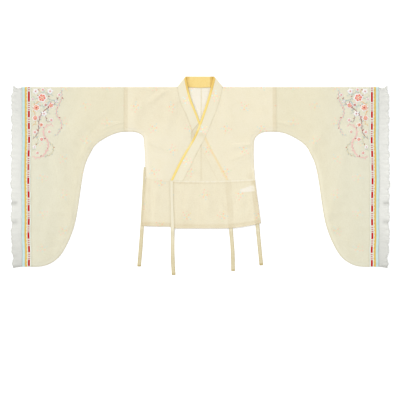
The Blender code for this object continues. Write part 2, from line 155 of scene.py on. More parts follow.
# Cuff bands, from the sleeve outwards
CUFF_DROP = 898.0
RIBBON = (844.0, 864.0)
TRIM = (864.0, 875.5)
BINDING = (875.5, 888.5)
FRILL = (888.5, 942.0)
FRILL_PITCH = 32.0
FRILL_LIE = 1.1
FRILL_WANDER = 4.0
FRILL_RISE = 4.0
FRILL_FALL = 7.0
FRILL_UNEVEN = ((0.3, 71.0), (0.16, 29.0))
FRILL_SWAY = 53.0
FRILL_FULLNESS = 1.3

# Ties: (x, drop, width), from the seam to the free end
TIE_SETTLE = 46.0
TIE_CLEAR = 3.0
TIE_RIGHT_SIDE = ((-278.5, 400, 8), (-281.5, 500, 13), (-290, 693, 17), (-305.5, 897, 18))
TIE_LEFT_FRONT = ((-143, 470.8, 15), (-142, 560, 15), (-138, 708, 17), (-138, 830, 18), (-132.5, 940, 18))
TIE_RIGHT_FRONT = ((141, 466, 17), (147, 560, 17), (153, 705, 18), (161, 800, 18), (164.5, 920, 18))
TIE_LEFT_SIDE = ((264, 466, 17), (273, 560, 17), (285.5, 688, 18), (305.5, 891, 18))

# Folded tag in the left side seam
TAG_LENGTH = 72.0
TAG_WIDTH = 34.0
TAG_FREE_WIDTH = 18.0
TAG_MIDDLE = (236.0, 512.0)
TAG_TURN = 13.0

# Soft folds of the solids, then the finer creases: (x, drop, length, turn from level, half width,
# height), where x and drop are the middle, and a height below 0 is a trough
SLEEVE_FOLDS = (
    (432, 176, 110, -6, 13, 1.8),
    (600, 190, 300, -58, 38, 3.2),
    (560, 300, 180, 55, 22, 2.4),
    (700, 420, 420, 84, 40, 3.6),
    (792, 330, 380, 88, 30, 2.6),
    (640, 640, 260, 62, 30, 3.0),
    (762, 710, 300, -76, 34, 3.2),
)
BODY_FOLDS = (
    (-215, 48, 120, 38, 15, 1.8),
    (-225, 275, 130, -30, 17, 2.0),
    (-165, 170, 240, 70, 30, 2.4),
    (-310, 120, 160, 62, 24, 2.2),
    (215, 288, 160, 4, 17, 2.2),
    (205, 350, 150, 20, 17, 2.0),
    (150, 150, 240, -72, 30, 2.4),
    (310, 120, 160, -62, 24, 2.2),
    (40, 585, 150, 86, 22, 2.4),
    (205, 590, 140, -84, 20, 2.2),
    (-60, 570, 120, 80, 20, 2.0),
    (-225, 575, 150, 86, 20, 2.2),
)
SLEEVE_CREASES = (
    (424, 170, 96, -3, 5, -1.0),
    (418, 186, 70, -14, 5, 0.8),
    (470, 205, 120, -22, 7, 0.7),
    (500, 150, 210, -38, 9, 0.8),
    (548, 238, 150, -52, 7, -0.7),
    (590, 330, 160, -68, 8, 0.8),
    (640, 604, 120, 10, 5, -0.9),
    (654, 636, 150, 6, 6, 1.1),
    (662, 668, 130, 4, 5, -0.9),
    (676, 702, 160, 2, 6, 1.2),
    (694, 734, 120, -4, 5, -0.8),
    (716, 768, 140, -10, 6, 1.0),
    (738, 802, 110, -16, 5, -0.7),
    (742, 250, 300, 80, 11, 0.7),
    (694, 520, 260, 76, 11, -0.7),
    (806, 560, 260, 87, 8, 0.7),
    (794, 760, 200, 85, 7, -0.7),
    (620, 450, 210, 74, 10, 0.8),
    (736, 610, 120, 40, 7, 0.6),
    (820, 200, 180, 84, 7, -0.6),
    (560, 60, 180, 12, 10, 0.6),
    (700, 70, 200, -8, 9, -0.5),
)
BODY_CREASES = (
    (-240, 258, 96, -34, 5, -1.0),
    (-212, 298, 110, -26, 6, 1.1),
    (-202, 330, 84, -14, 5, -0.8),
    (-230, 27, 90, 44, 5, -0.9),
    (-197, 40, 84, 36, 5, 1.0),
    (202, 279, 116, 3, 5, -1.0),
    (196, 299, 92, 9, 4, 0.8),
    (198, 359, 104, 21, 5, -1.0),
    (184, 387, 92, 35, 5, 0.9),
    (236, 330, 64, 62, 5, -0.7),
    (-250, 382, 90, 80, 6, 0.7),
    (332, 62, 140, -70, 8, 0.8),
    (-332, 72, 140, 70, 8, 0.8),
    (150, 60, 110, -50, 8, 0.6),
    (-110, 330, 120, 64, 8, 0.7),
    (-95, 120, 130, 66, 7, -0.5),
    (240, 420, 60, 80, 5, 0.6),
    (60, 520, 90, 80, 5, -0.6),
    (110, 600, 120, 88, 7, 0.7),
    (-20, 640, 100, 84, 6, -0.6),
    (-182, 560, 110, 80, 6, 0.7),
    (-242, 620, 90, 86, 6, -0.7),
    (182, 640, 120, 86, 6, 0.6),
    (244, 600, 110, 78, 6, 0.7),
    (-90, 520, 60, 72, 5, 0.6),
)
BACK_CREASES = (
    (470, 130, 160, -28, 9, 1.0),
    (560, 260, 170, -60, 9, 0.9),
    (640, 430, 240, 76, 12, 1.2),
    (760, 380, 280, 84, 13, 1.1),
    (660, 650, 150, 8, 8, 1.0),
    (690, 720, 140, -3, 8, 1.1),
    (780, 700, 190, -78, 12, 1.2),
    (730, 130, 190, 30, 11, 0.9),
)

# How far from a seam the front starts to sink, over how much breadth it sinks under the outer front and
# from where, how far below the shoulder the folds reach their height, and the steps of a fine line
ROLL = 24.0
SINK = 60.0
SINK_START = 4.0
FOLD_FADE = 30.0
FINE_STEPS = 400

# The camera looks straight down on a square of 2 m: 5 mm for each pixel of a picture 400 pixels wide
PIXEL = 5.0
PICTURE_MIDDLE_X = -0.2 * PIXEL
PICTURE_MIDDLE_DROP = (200 - 87) * PIXEL
PICTURE_WIDTH = 2.0
LENS = 100.0
SENSOR = 36.0


def smooth(value):
    """0 below 0, 1 above 1, with an easy start and end between."""
    value = np.clip(value, 0, 1)
    return value * value * (3 - 2 * value)


def blend(start, end, share):
    """A value between two, at a share of the way from the first."""
    return start + (end - start) * share


def band(value, start, end, ease):
    """1 between a start and an end and 0 past them, easy over a short way inside each."""
    return smooth((value - start) / ease) * smooth((end - value) / ease)


def unit(vectors):
    """Each vector at length 1."""
    return vectors / np.linalg.norm(vectors, axis=-1, keepdims=True)


def travelled(line):
    """How far along a line of points each of them lies."""
    return np.concatenate([[0], np.cumsum(np.linalg.norm(np.diff(line, axis=0), axis=1))])


def points_at(line, along, at):
    """Points at some distances along a line, read between its own."""
    return np.stack([np.interp(at, along, column) for column in line.T], axis=1)


def turned(x, drop, middle, turn):
    """How far along and aside of a middle each point lies, on a line turned up from level."""
    from_x, from_drop = x - middle[0], drop - middle[1]
    cos, sin = np.cos(np.radians(turn)), np.sin(np.radians(turn))
    return from_x * cos - from_drop * sin, from_x * sin + from_drop * cos


def near(value, reach):
    """1 where a value is 0, falling off like a bell to 0 at a few times the reach."""
    return np.exp(-((value / reach) ** 2))


def spline(values, at):
    """Natural cubic through evenly numbered values, one column at a time, read at the given numbers."""
    values = np.asarray(values, float)
    count = len(values)
    bend_of = np.eye(count) * 4
    bend_of[0, 0] = bend_of[-1, -1] = 1
    for row in range(1, count - 1):
        bend_of[row, row - 1] = bend_of[row, row + 1] = 1
    right = np.zeros_like(values)
    right[1:-1] = 6 * (values[2:] - 2 * values[1:-1] + values[:-2])
    bend = np.linalg.solve(bend_of, right)
    span = np.clip(np.floor(at).astype(int), 0, count - 2)
    after = (np.asarray(at) - span)[:, None]
    before = 1 - after
    curve = before * values[span] + after * values[span + 1]
    return curve + ((before**3 - before) * bend[span] + (after**3 - after) * bend[span + 1]) / 6


def line_through(table, count=FINE_STEPS):
    """The natural cubic through a table's rows, read at even steps of their number."""
    return spline(table, np.linspace(0, len(table) - 1, count))


def even_steps(line, count=None):
    """Points at even distances along a line: as many as asked, or about one for each millimetre."""
    along = travelled(line)
    return points_at(line, along, np.linspace(0, along[-1], count or int(along[-1])))


def distance_to(path, x, drop):
    """How far each point lies from a path of straight lines."""
    nearest = np.full(np.shape(x), np.inf)
    for (x0, d0), (x1, d1) in zip(path[:-1], path[1:]):
        run = np.array([x1 - x0, d1 - d0])
        share = ((x - x0) * run[0] + (drop - d0) * run[1]) / (run @ run)
        share = np.clip(share, 0, 1)
        gap = np.hypot(x - x0 - share * run[0], drop - d0 - share * run[1])
        nearest = np.minimum(nearest, gap)
    return nearest


def arch(side):
    """The rounded corner under the arm, a quarter of an ellipse down to the straight side."""
    turn = np.linspace(np.pi / 2, 0, ARCH_STEPS + 1)
    x = ARCH_SIDE[side] + ARCH_WIDTH[side] * (1 - np.cos(turn))
    drop = ARCH_END[side] - (ARCH_END[side] - ARCH_TOP) * np.sin(turn)
    return np.stack([x, drop], axis=1)


def side_x(side, drop):
    """x of the outline at a drop, down the arch and the side."""
    line = np.concatenate([arch(side), SIDE_EDGE[side]])
    return np.interp(drop, line[:, 1], line[:, 0])


def sleeve_edge(count):
    """Points at even distances along the sleeve's lower edge, from the armhole to the cuff."""
    return even_steps(line_through(SLEEVE_EDGE), count)


def seam_path(side):
    """The side and underarm seam, where the front sinks to the back."""
    if side > 0:
        low = [(side_x(side, LEFT_SEAM_END), LEFT_SEAM_END)]
    else:
        low = [(PEPLUM_HEM_SIDE[side], PAST_HEM), (PEPLUM_TOP_SIDE[side], WAIST_SIDE[side])]
    outward = [(FRILL[1] + ROLL, CUFF_DROP)]
    return np.concatenate([low, arch(side)[::-1], sleeve_edge(41), outward])


def ridges(table, x, drop):
    """Sum of a table's ridges: each is bell-shaped across, and along it too."""
    total = np.zeros(np.shape(x))
    for *middle, length, turn, width, height in table:
        along, aside = turned(x, drop, middle, turn)
        total = total + height * near(aside, width) * near(along, length / 2)
    return total


def collar_rows(side, at):
    """Seam and edge of the collar's front, at shares from the neck corner (0) to the lower end (1)."""
    table = COLLAR_LEFT if side > 0 else COLLAR_RIGHT
    return spline(table, np.asarray(at) * (len(table) - 1))


def crossing(side):
    """The share along the collar where its seam meets the centre-front seam."""
    fine = np.linspace(0, 1, FINE_STEPS)
    seam_x = collar_rows(side, fine)[:, 0] * side
    return np.interp(-MIDDLE_SEAM * side, -seam_x, fine)


def collar_lines(side, drop):
    """x of one collar front's seam and of its free edge, at a drop. Past an end they stay as there."""
    rows = collar_rows(side, np.linspace(0, 1, FINE_STEPS))
    return np.interp(drop, rows[:, 1], rows[:, 0]), np.interp(drop, rows[:, 3], rows[:, 2])


def outer_edge(drop):
    """x of the outer front's free edge, which is the left collar's."""
    return collar_lines(1, drop)[1]


def front_z(side, x, drop):
    """z of the front's upper surface: the solids' own, with the finer creases laid on it. It sinks
    towards the side seam, and the right front sinks under the left one as well."""
    place = np.abs(x)
    lifted = smooth(distance_to(seam_path(side), place, drop) / ROLL)
    if side < 0:
        lifted = lifted * smooth((outer_edge(drop) - x - SINK_START) / SINK)
    bulge = ridges(SLEEVE_FOLDS, place, drop) + ridges(BODY_FOLDS, x, drop)
    fine = ridges(SLEEVE_CREASES, place, drop) + ridges(BODY_CREASES, x, drop)
    return WALL + INNER + (OUTER - INNER + (bulge + fine) * smooth((drop - FOLD) / FOLD_FADE)) * lifted


def waist(side, x, middle):
    """Drop of the waist seam: a shallow bow, lowest in the middle."""
    return middle - (middle - WAIST_SIDE[side]) * (x / SIDE_EDGE[side][-1][0]) ** 2


def hem(side, x, middle):
    """Drop of a waist panel's hem: level near the middle, and rising towards the side."""
    share = (np.abs(x) - HEM_LEVEL[side]) / (PEPLUM_HEM_SIDE[side] - HEM_LEVEL[side])
    return middle - (middle - HEM_SIDE[side]) * np.clip(share, 0, 1) ** 2


def across(start, end, columns):
    """Rows of x from a start to an end, each with a number of even columns or with the given shares."""
    share = np.linspace(0, 1, columns) if np.isscalar(columns) else columns
    return blend(np.asarray(start, float)[:, None], np.asarray(end, float)[:, None], share)


def like(drop, x):
    """A drop for each row, repeated over the row."""
    return np.broadcast_to(np.asarray(drop, float)[:, None], x.shape)


def world(x, drop, z):
    """Metres in the frame from the sizes of the cutting table."""
    return np.stack(np.broadcast_arrays(x, SHOULDER - drop, z), axis=-1) * MM


# Materials


class Number:
    """A number that changes over a surface: a socket with arithmetic, which adds its Math nodes."""

    def __init__(self, recipe, socket):
        self.recipe = recipe
        self.socket = socket

    def __add__(self, other):
        return self.recipe.math("ADD", self, other)

    def __sub__(self, other):
        return self.recipe.math("SUBTRACT", self, other)

    def __rsub__(self, other):
        return self.recipe.math("SUBTRACT", other, self)

    def __mul__(self, other):
        return self.recipe.math("MULTIPLY", self, other)

    def __truediv__(self, other):
        return self.recipe.math("DIVIDE", self, other)

    def __neg__(self):
        return self.recipe.math("MULTIPLY", self, -1.0)

    def __abs__(self):
        return self.recipe.math("ABSOLUTE", self)

    __radd__ = __add__
    __rmul__ = __mul__


class Recipe:
    """The nodes of one finish, on one Principled shader."""

    def __init__(self, name, roughness, alpha=1.0, sheen=0.0):
        self.made = bpy.data.materials.new(name)
        self.made.use_nodes = True
        self.tree = self.made.node_tree
        self.shader = self.tree.nodes["Principled BSDF"]
        self.set("Roughness", roughness)
        self.set("Alpha", alpha)
        self.set("Specular IOR Level", 0.25)
        self.set("Sheen Weight", sheen)
        self.set("Sheen Roughness", 0.45)

    def put(self, socket, value):
        value = getattr(value, "socket", value)
        if isinstance(value, bpy.types.NodeSocket):
            self.tree.links.new(value, socket)
        else:
            socket.default_value = value

    def set(self, name, value):
        self.put(self.shader.inputs[name], value)

    def add(self, kind, settings=None, values=None, out=0):
        """Any node: its settings first, then the values or links of its sockets."""
        node = self.tree.nodes.new(kind)
        for name, value in (settings or {}).items():
            setattr(node, name, value)
        for key, value in (values or {}).items():
            self.put(node.inputs[key], value)
        return node.outputs[out]

    def math(self, operation, *values):
        socket = self.add("ShaderNodeMath", {"operation": operation}, dict(enumerate(values)))
        return Number(self, socket)

    def vector(self, operation, *values, out=0):
        return self.add("ShaderNodeVectorMath", {"operation": operation}, dict(enumerate(values)), out)

    def scaled(self, vector, factor):
        """A vector or a colour times a number."""
        socket = self.vector("SCALE", vector)
        socket.node.inputs["Scale"].default_value = factor
        return socket

    def step(self, value, start, end):
        """0 before the start and 1 past the end, easy between."""
        values = {"Value": value, "From Min": start, "From Max": end}
        socket = self.add("ShaderNodeMapRange", {"interpolation_type": "SMOOTHSTEP"}, values)
        return Number(self, socket)

    def stretch(self, value, rise, fall):
        """1 over a stretch: it rises between one pair of limits and falls between another."""
        return self.step(value, *rise) * self.step(value, *fall)

    def mix(self, mask, colour, other):
        """The first colour where the mask is 0 and the other where it is 1."""
        settings = {"data_type": "RGBA", "clamp_factor": True}
        return self.add("ShaderNodeMix", settings, {0: mask, 6: colour, 7: other}, 2)

    def attribute(self, name, out="Fac"):
        socket = self.add("ShaderNodeAttribute", {"attribute_name": name}, out=out)
        return Number(self, socket) if out == "Fac" else socket

    def cloth_places(self):
        """The place on the flat cloth, as a vector and as two numbers, in millimetres."""
        place = self.scaled(self.add("ShaderNodeUVMap", {"uv_map": "Cloth"}), 1 / MM)
        parts = self.add("ShaderNodeSeparateXYZ", values={0: place}).node.outputs
        return place, Number(self, parts[0]), Number(self, parts[1])

    def noise(self, place, size):
        """Soft random spots of about one size, from 0 to 1."""
        values = {"Vector": place, "Scale": 1 / size, "Detail": 2.0}
        return Number(self, self.add("ShaderNodeTexNoise", {}, values))

    def weave(self, u, v, pitch):
        """Plain weave: warp and weft threads that pass over each other in turn, from -1 to 1."""
        turn = 2 * np.pi / pitch
        over = self.math("SINE", u * (turn / 2)) * self.math("SINE", v * (turn / 2))
        warp = self.math("COSINE", u * turn) * (0.5 + 0.5 * over)
        weft = self.math("COSINE", v * turn) * (0.5 - 0.5 * over)
        return warp + weft

    def bump(self, height, strength=0.5):
        """Fine relief, with its height in millimetres."""
        values = {"Height": height, "Distance": MM, "Strength": strength}
        self.set("Normal", self.add("ShaderNodeBump", {}, values))


def colour(red, green, blue):
    """Linear colour from the 0 to 255 of a screen."""
    screen = np.array([red, green, blue]) / 255
    linear = np.where(screen <= 0.04045, screen / 12.92, ((screen + 0.055) / 1.055) ** 2.4)
    return (*linear.tolist(), 1.0)


# How light falls: one part from all round, and one from a large lamp at the upper left
AROUND = 1.0
LAMP = 0.34
LEVEL = AROUND + LAMP

# Sheer cloth shows less of the light than solid cloth, because some is lost between its layers
SHEER = LEVEL * 0.79
SHEEREST = LEVEL * 0.66


def dyed(red, green, blue, level=LEVEL):
    """The dye that shows as a screen colour where both lights reach it."""
    return tuple(part / level for part in colour(red, green, blue)[:3]) + (1.0,)


# The small scattered print, charted: (x, y, radius, tint) of each dab from the sprig's middle.
# Sprigs stand in staggered rows: the pitch along a row and down the rows, and where the first one is
SPRIG_PITCH = (180.0, 107.5)
SPRIG_FIRST = (40.0, 100.0)
SPRIG = (
    (0.0, 12.5, 3.4, "coral"),
    (11.0, 6.5, 3.2, "sky"),
    (11.5, -6.0, 3.6, "coral"),
    (1.5, -12.0, 3.0, "leaf"),
    (-10.0, -7.5, 3.6, "rose"),
    (-11.5, 5.0, 3.2, "sky"),
    (1.0, 1.5, 3.0, "straw"),
    (-19.0, 16.0, 2.6, "leaf"),
    (18.0, 17.0, 2.8, "sky"),
    (-14.5, -21.0, 2.8, "coral"),
    (4.0, -24.5, 2.4, "rose"),
    (21.0, -13.5, 2.4, "straw"),
)
SPRIG_TINTS = {
    "coral": colour(255, 190, 160),
    "rose": colour(250, 200, 190),
    "sky": colour(196, 226, 226),
    "straw": colour(246, 226, 150),
    "leaf": colour(214, 226, 184),
}


def print_sprigs(recipe, u, v, cloth_colour, strength):
    """Sprigs on a staggered lattice, each turned by a chance angle: a dab is a soft disc."""
    u = u - (SPRIG_FIRST[0] - SPRIG_PITCH[0] / 2)
    v = v - (SPRIG_FIRST[1] - SPRIG_PITCH[1] / 2)
    row = recipe.math("FLOOR", v / SPRIG_PITCH[1])
    shift = recipe.math("MODULO", row + 100.0, 2.0) * 0.5
    column = u / SPRIG_PITCH[0] + shift
    cell = recipe.math("FLOOR", column)
    chance = recipe.add(
        "ShaderNodeTexWhiteNoise",
        {"noise_dimensions": "2D"},
        {"Vector": recipe.add("ShaderNodeCombineXYZ", values={0: cell, 1: row})},
    )
    local_x = (column - cell - 0.5) * SPRIG_PITCH[0]
    local_y = (v / SPRIG_PITCH[1] - row - 0.5) * SPRIG_PITCH[1]
    local = recipe.add("ShaderNodeCombineXYZ", values={0: local_x, 1: local_y})
    angle = Number(recipe, chance) * (2 * np.pi)
    local = recipe.add(
        "ShaderNodeVectorRotate", {"rotation_type": "Z_AXIS"}, {"Vector": local, "Angle": angle}
    )
    made = cloth_colour
    for tint, value in SPRIG_TINTS.items():
        mask = 0.0
        for x, y, radius, name in SPRIG:
            if name == tint:
                far = recipe.vector("DISTANCE", local, (x, y, 0.0), out="Value")
                mask = recipe.step(Number(recipe, far), radius + 1.4, radius - 1.4) + mask
        made = recipe.mix(mask * strength, made, value)
    return made


THREAD_PITCH = 1.1


def gauze(name, level, dye, pale, deep, alpha, sprigs=0.0, cool=None):
    """Sheer plain-weave cloth: threads as bump and faint stripes, cloudy mottling, the scattered
    print, the piece's darker and paler places from its "shade" attribute (doubled cloth, and painted
    shade, painted shadows and painted highlights), and the gold that shows through it. It may turn
    cooler from one place across the cloth to another."""
    dye, pale, deep = (dyed(*screen, level) for screen in (dye, pale, deep))
    recipe = Recipe(name, 0.82, alpha, sheen=0.12)
    place, u, v = recipe.cloth_places()
    threads = recipe.weave(u, v, THREAD_PITCH)
    slub = recipe.noise(recipe.vector("MULTIPLY", place, (0.05, 1.0, 1.0)), 1.6)
    clouds = recipe.noise(place, 46.0)
    grain = recipe.noise(place, 7.0)
    made = dye
    if cool:
        start, end, tint = cool
        made = recipe.mix(recipe.step(v, start, end), made, dyed(*tint, level))
    if sprigs:
        made = print_sprigs(recipe, u, v, made, sprigs)
    tone = (clouds - 0.5) * 0.24 + (grain - 0.5) * 0.36 + (slub - 0.5) * 0.12 - threads * 0.05
    shade = recipe.attribute("shade") + tone
    made = recipe.mix(shade, made, deep)
    made = recipe.mix(-shade, made, pale)
    made = recipe.mix(recipe.attribute("gold"), made, dyed(250, 214, 130, level))
    recipe.set("Base Color", made)
    recipe.bump(threads * 0.06 + slub * 0.05)
    return recipe.made


def cotton(name, dye, deep):
    """Gold cotton with a fine twill line, darker where its "shade" attribute says: partly painted shade.
    """
    recipe = Recipe(name, 0.7, sheen=0.15)
    place, u, v = recipe.cloth_places()
    twill = recipe.math("SINE", (u + v) * (2 * np.pi / 1.6))
    clouds = recipe.noise(place, 12.0)
    shade = recipe.attribute("shade") + (clouds - 0.5) * 0.5 + twill * 0.08
    made = recipe.mix(shade, dye, deep)
    made = recipe.mix(-shade, made, dyed(255, 240, 190))
    recipe.set("Base Color", made)
    recipe.bump(twill * 0.07 + clouds * 0.05)
    return recipe.made


# The ribbon's figure down its length, over and over: a dash, then bars. It starts with another dash,
# two bars below the fold, and a shift there brings its bars into step. One dash is worn pale
DASH_REPEAT = 68.3
DASH_START = 42.6
DASH_LENGTH = 32.5
BAR_PITCH = 10.4
BAR_HALF = 2.4
FIRST_BAR = 9.4
FIRST_DASH = (26.0, 69.5)
FIRST_STRETCH = 114.0
FIRST_SHIFT = -8.3
SHIFT_END = 165.0
WORN_DASH = (378.0, 420.0)
WORN_SHARE = 0.12

# Across the ribbon: how far aside the figure lies, half a dash, half a bar's length, and the limits of
# the white line beside a dash
DASH_ASIDE = 1.6
DASH_HALF = 4.9
BAR_REACH = 4.1
FLANK = (5.0, 10.0)


def ribbon_finish():
    """Woven ribbon: red dashes with a white line each side, red bars between them, ribbed ground."""
    recipe = Recipe("ribbon_weave", 0.6)
    recipe.set("Specular IOR Level", 0.1)
    place, u, v = recipe.cloth_places()
    down = v + recipe.step(v, SHIFT_END + 0.5, SHIFT_END) * FIRST_SHIFT
    along = recipe.math("FLOORED_MODULO", down - DASH_START, DASH_REPEAT)
    later = recipe.step(v, FIRST_STRETCH - 1, FIRST_STRETCH)
    first = recipe.stretch(v, (FIRST_DASH[0], FIRST_DASH[0] + 1), (FIRST_DASH[1] + 1, FIRST_DASH[1]))
    dash = recipe.stretch(along, (0.0, 1.0), (DASH_LENGTH + 0.5, DASH_LENGTH - 0.5))
    worn = recipe.stretch(v, (WORN_DASH[0], WORN_DASH[0] + 6), (WORN_DASH[1], WORN_DASH[1] - 6))
    dash = recipe.math("MAXIMUM", dash * later, first) * (1 - worn * WORN_SHARE)
    from_bar = recipe.math("FLOORED_MODULO", along - DASH_LENGTH - FIRST_BAR + BAR_PITCH / 2, BAR_PITCH)
    bar = recipe.step(abs(from_bar - BAR_PITCH / 2), BAR_HALF + 0.5, BAR_HALF - 0.5)
    bar = bar * recipe.math("MAXIMUM", recipe.step(along, DASH_LENGTH + 3, DASH_LENGTH + 4), 1 - later)
    from_middle = abs(u - DASH_ASIDE)
    middle = recipe.step(from_middle, DASH_HALF + 0.3, DASH_HALF - 0.3)
    narrow = recipe.step(from_middle, BAR_REACH + 0.4, BAR_REACH - 0.4)
    flank = recipe.stretch(from_middle, (FLANK[0], FLANK[0] + 0.6), (FLANK[1], FLANK[1] - 1))
    rib = recipe.math("SINE", v * (2 * np.pi / 0.9))
    wear = recipe.noise(place, 5.0)
    made = recipe.mix((wear - 0.4) * 0.5 + rib * 0.06, dyed(226, 227, 211), dyed(208, 206, 186))
    made = recipe.mix(flank * 0.5, made, dyed(230, 240, 220))
    made = recipe.mix(narrow * (1 - dash) * 0.6, made, dyed(246, 232, 226))
    made = recipe.mix(flank * dash, made, dyed(240, 252, 238))
    made = recipe.mix(narrow * bar * (1 - dash), made, dyed(196, 62, 74))
    made = recipe.mix(middle * dash, made, dyed(198, 0, 16))
    recipe.set("Base Color", made)
    recipe.bump(rib * 0.05 + middle * (dash + bar) * 0.18, 0.6)
    return recipe.made


def trim_finish():
    """Golden braid: two rows of slanting plaits that meet along its middle."""
    recipe = Recipe("golden_braid", 0.5, sheen=0.2)
    place, u, v = recipe.cloth_places()
    plait = recipe.math("SINE", (v + abs(u) * 1.1) * (2 * np.pi / 4.6))
    spine = recipe.step(abs(u), 1.0, 0.2)
    shade = recipe.attribute("shade") + plait * 0.3 + spine * 0.3 + recipe.noise(place, 9.0) * 0.4
    made = recipe.mix(shade, dyed(244, 209, 90), dyed(218, 172, 70))
    recipe.set("Base Color", made)
    recipe.bump(plait * 0.3 - spine * 0.25, 0.7)
    return recipe.made


def satin(name, dye, deep, pitch=0.8, roughness=0.34):
    """Satin: fine threads along the cloth, and a soft gloss."""
    recipe = Recipe(name, roughness, sheen=0.1)
    place, u, _ = recipe.cloth_places()
    thread = recipe.math("SINE", u * (2 * np.pi / pitch))
    clouds = recipe.noise(recipe.vector("MULTIPLY", place, (1.0, 0.25, 1.0)), 7.0)
    made = recipe.mix(recipe.attribute("shade") + (clouds - 0.5) * 0.6 + thread * 0.08, dye, deep)
    recipe.set("Base Color", made)
    recipe.bump(thread * 0.05 + clouds * 0.1)
    return recipe.made


def floss_finish():
    """Embroidery floss in the colours that the stitches carry: threads across each petal."""
    recipe = Recipe("embroidery_floss", 0.42, sheen=0.15)
    place, _, v = recipe.cloth_places()
    thread = recipe.math("SINE", v * (2 * np.pi / 0.9))
    tint = recipe.attribute("floss", "Color")
    uneven = recipe.noise(place, 4.0)
    made = recipe.mix(thread * 0.14 + (uneven - 0.4) * 0.5, tint, recipe.scaled(tint, 0.72))
    recipe.set("Base Color", made)
    recipe.bump(thread * 0.12, 0.7)
    return recipe.made


# The sleeves turn cooler towards the cuff: where this starts and ends across the cloth, and the colour
SLEEVE_COOL = (440, 790, (230, 227, 206))

FINISHES = {
    "gauze": gauze("cream_gauze", SHEER, (241, 233, 207), (250, 246, 240), (206, 186, 144), 0.7, 0.85),
    "sleeve_gauze": gauze(
        "sleeve_gauze", SHEER, (235, 228, 201), (250, 247, 232), (196, 180, 138), 0.7, 0.6, SLEEVE_COOL
    ),
    "collar_gauze": gauze(
        "collar_gauze", LEVEL, (244, 236, 209), (255, 252, 238), (206, 190, 146), 1.0, 0.85
    ),
    "tie_gauze": gauze("tie_gauze", LEVEL, (240, 231, 201), (252, 248, 238), (194, 174, 116), 1.0, 0.6),
    "frill": gauze("grey_white_gauze", SHEEREST, (223, 223, 218), (236, 236, 232), (180, 180, 174), 0.42),
    "frill_hem": satin("grey_white_thread", dyed(226, 227, 222), dyed(196, 198, 192), 0.5, 0.7),
    "gold": cotton("gold_cotton", dyed(252, 222, 140), dyed(222, 178, 84)),
    "gold_edging": cotton("gold_edging_cotton", dyed(255, 229, 136), dyed(232, 184, 84)),
    "ribbon": ribbon_finish(),
    "trim": trim_finish(),
    "binding": satin("pale_aqua_satin", dyed(205, 232, 231), dyed(172, 208, 204)),
    "lace": satin("white_lace_thread", dyed(242, 246, 236), dyed(222, 224, 210), 0.6, 0.7),
    "tag": satin("white_tape", dyed(250, 249, 246), dyed(226, 222, 214), 0.9, 0.7),
    "thread": satin("sewing_thread", dyed(244, 236, 208), dyed(214, 200, 160), 0.4, 0.6),
    "gold_thread": satin("gold_thread", dyed(250, 220, 140), dyed(214, 170, 84), 0.4, 0.6),
    "floss": floss_finish(),
}


# Meshes


def show(name, data):
    """An object of the scene, at the origin."""
    thing = bpy.data.objects.new(name, data)
    bpy.context.scene.collection.objects.link(thing)
    return thing


def surface(name, points, place, finish, shade=0.0, gold=0.0, floss=None, wrap=False):
    """A mesh from one grid of points, or from many of one size: quads between neighbours in the last
    two directions. The last row of the first grid lies face up. A wrapped grid closes on itself, and
    its doubled points are merged."""
    shape = points.shape[:-1]
    number = np.arange(np.prod(shape)).reshape(shape)
    if wrap:
        number = np.concatenate([number, number[..., :1]], axis=-1)
    corners = number[..., :-1, :-1], number[..., 1:, :-1], number[..., 1:, 1:], number[..., :-1, 1:]
    faces = np.stack(corners, axis=-1)
    first = points.reshape(-1, *points.shape[-3:])[0]
    down = first[-1, 0] - first[-2, 0]
    over = first[-1, -1] - first[-1, 0]
    if np.cross(down, over)[2] < 0:
        faces = faces[..., ::-1]
    faces = faces.reshape(-1, 4)
    mesh = bpy.data.meshes.new(name)
    mesh.from_pydata(points.reshape(-1, 3).tolist(), [], faces.tolist())
    flat = np.stack(np.broadcast_arrays(*place), axis=-1).reshape(-1, 2) * MM
    layer = mesh.uv_layers.new(name="Cloth")
    layer.data.foreach_set("uv", flat[faces.ravel()].ravel().astype(np.float32))
    for mark, values in (("shade", shade), ("gold", gold)):
        data = mesh.attributes.new(mark, "FLOAT", "POINT").data
        data.foreach_set("value", np.broadcast_to(values, shape).ravel().astype(np.float32))
    if floss is not None:
        tint = mesh.attributes.new("floss", "FLOAT_COLOR", "POINT")
        tint.data.foreach_set("color", floss.reshape(-1).astype(np.float32))
    if wrap:
        shell = bmesh.new()
        shell.from_mesh(mesh)
        bmesh.ops.remove_doubles(shell, verts=shell.verts, dist=1e-6)
        bmesh.ops.recalc_face_normals(shell, faces=shell.faces)
        shell.to_mesh(mesh)
        shell.free()
    mesh.shade_smooth()
    mesh.materials.append(FINISHES[finish])
    piece = show(name, mesh)
    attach(piece, "root")
    return piece


def thicken(piece, thickness=THIN_SHELL):
    """Make a surface a thin shell that grows inwards, shaded smoothly with its large faces leading."""
    wall = piece.modifiers.new("Wall", "SOLIDIFY")
    wall.thickness = thickness * MM
    wall.offset = -1
    flat = piece.modifiers.new("Flat faces lead", "WEIGHTED_NORMAL")
    flat.weight = 90


def cut_area(u, v):
    """Area of the flat cloth: half the cross product of each cell's diagonals, summed."""
    one = u[1:, 1:] - u[:-1, :-1], v[1:, 1:] - v[:-1, :-1]
    two = u[1:, :-1] - u[:-1, 1:], v[1:, :-1] - v[:-1, 1:]
    return np.abs(one[0] * two[1] - one[1] * two[0]).sum() / 2 * MM * MM


def cloth(node, grid, finish, shade, place=None, thickness=SHELL, gold=0.0):
    """A piece of cloth that stands for its solid: a thin shell on a grid of x, drop and z. It works out
    the extent and the area of its place on the flat cloth, and does nothing more with them."""
    place = grid[:2] if place is None else place
    piece = surface(f"{node}_cloth", world(*grid), place, finish, shade, gold)
    thicken(piece, thickness)
    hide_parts(node)
    width, length = np.ptp(place[0]) * MM, np.ptp(place[1]) * MM
    area = min(cut_area(*np.broadcast_arrays(*place)), width * length)


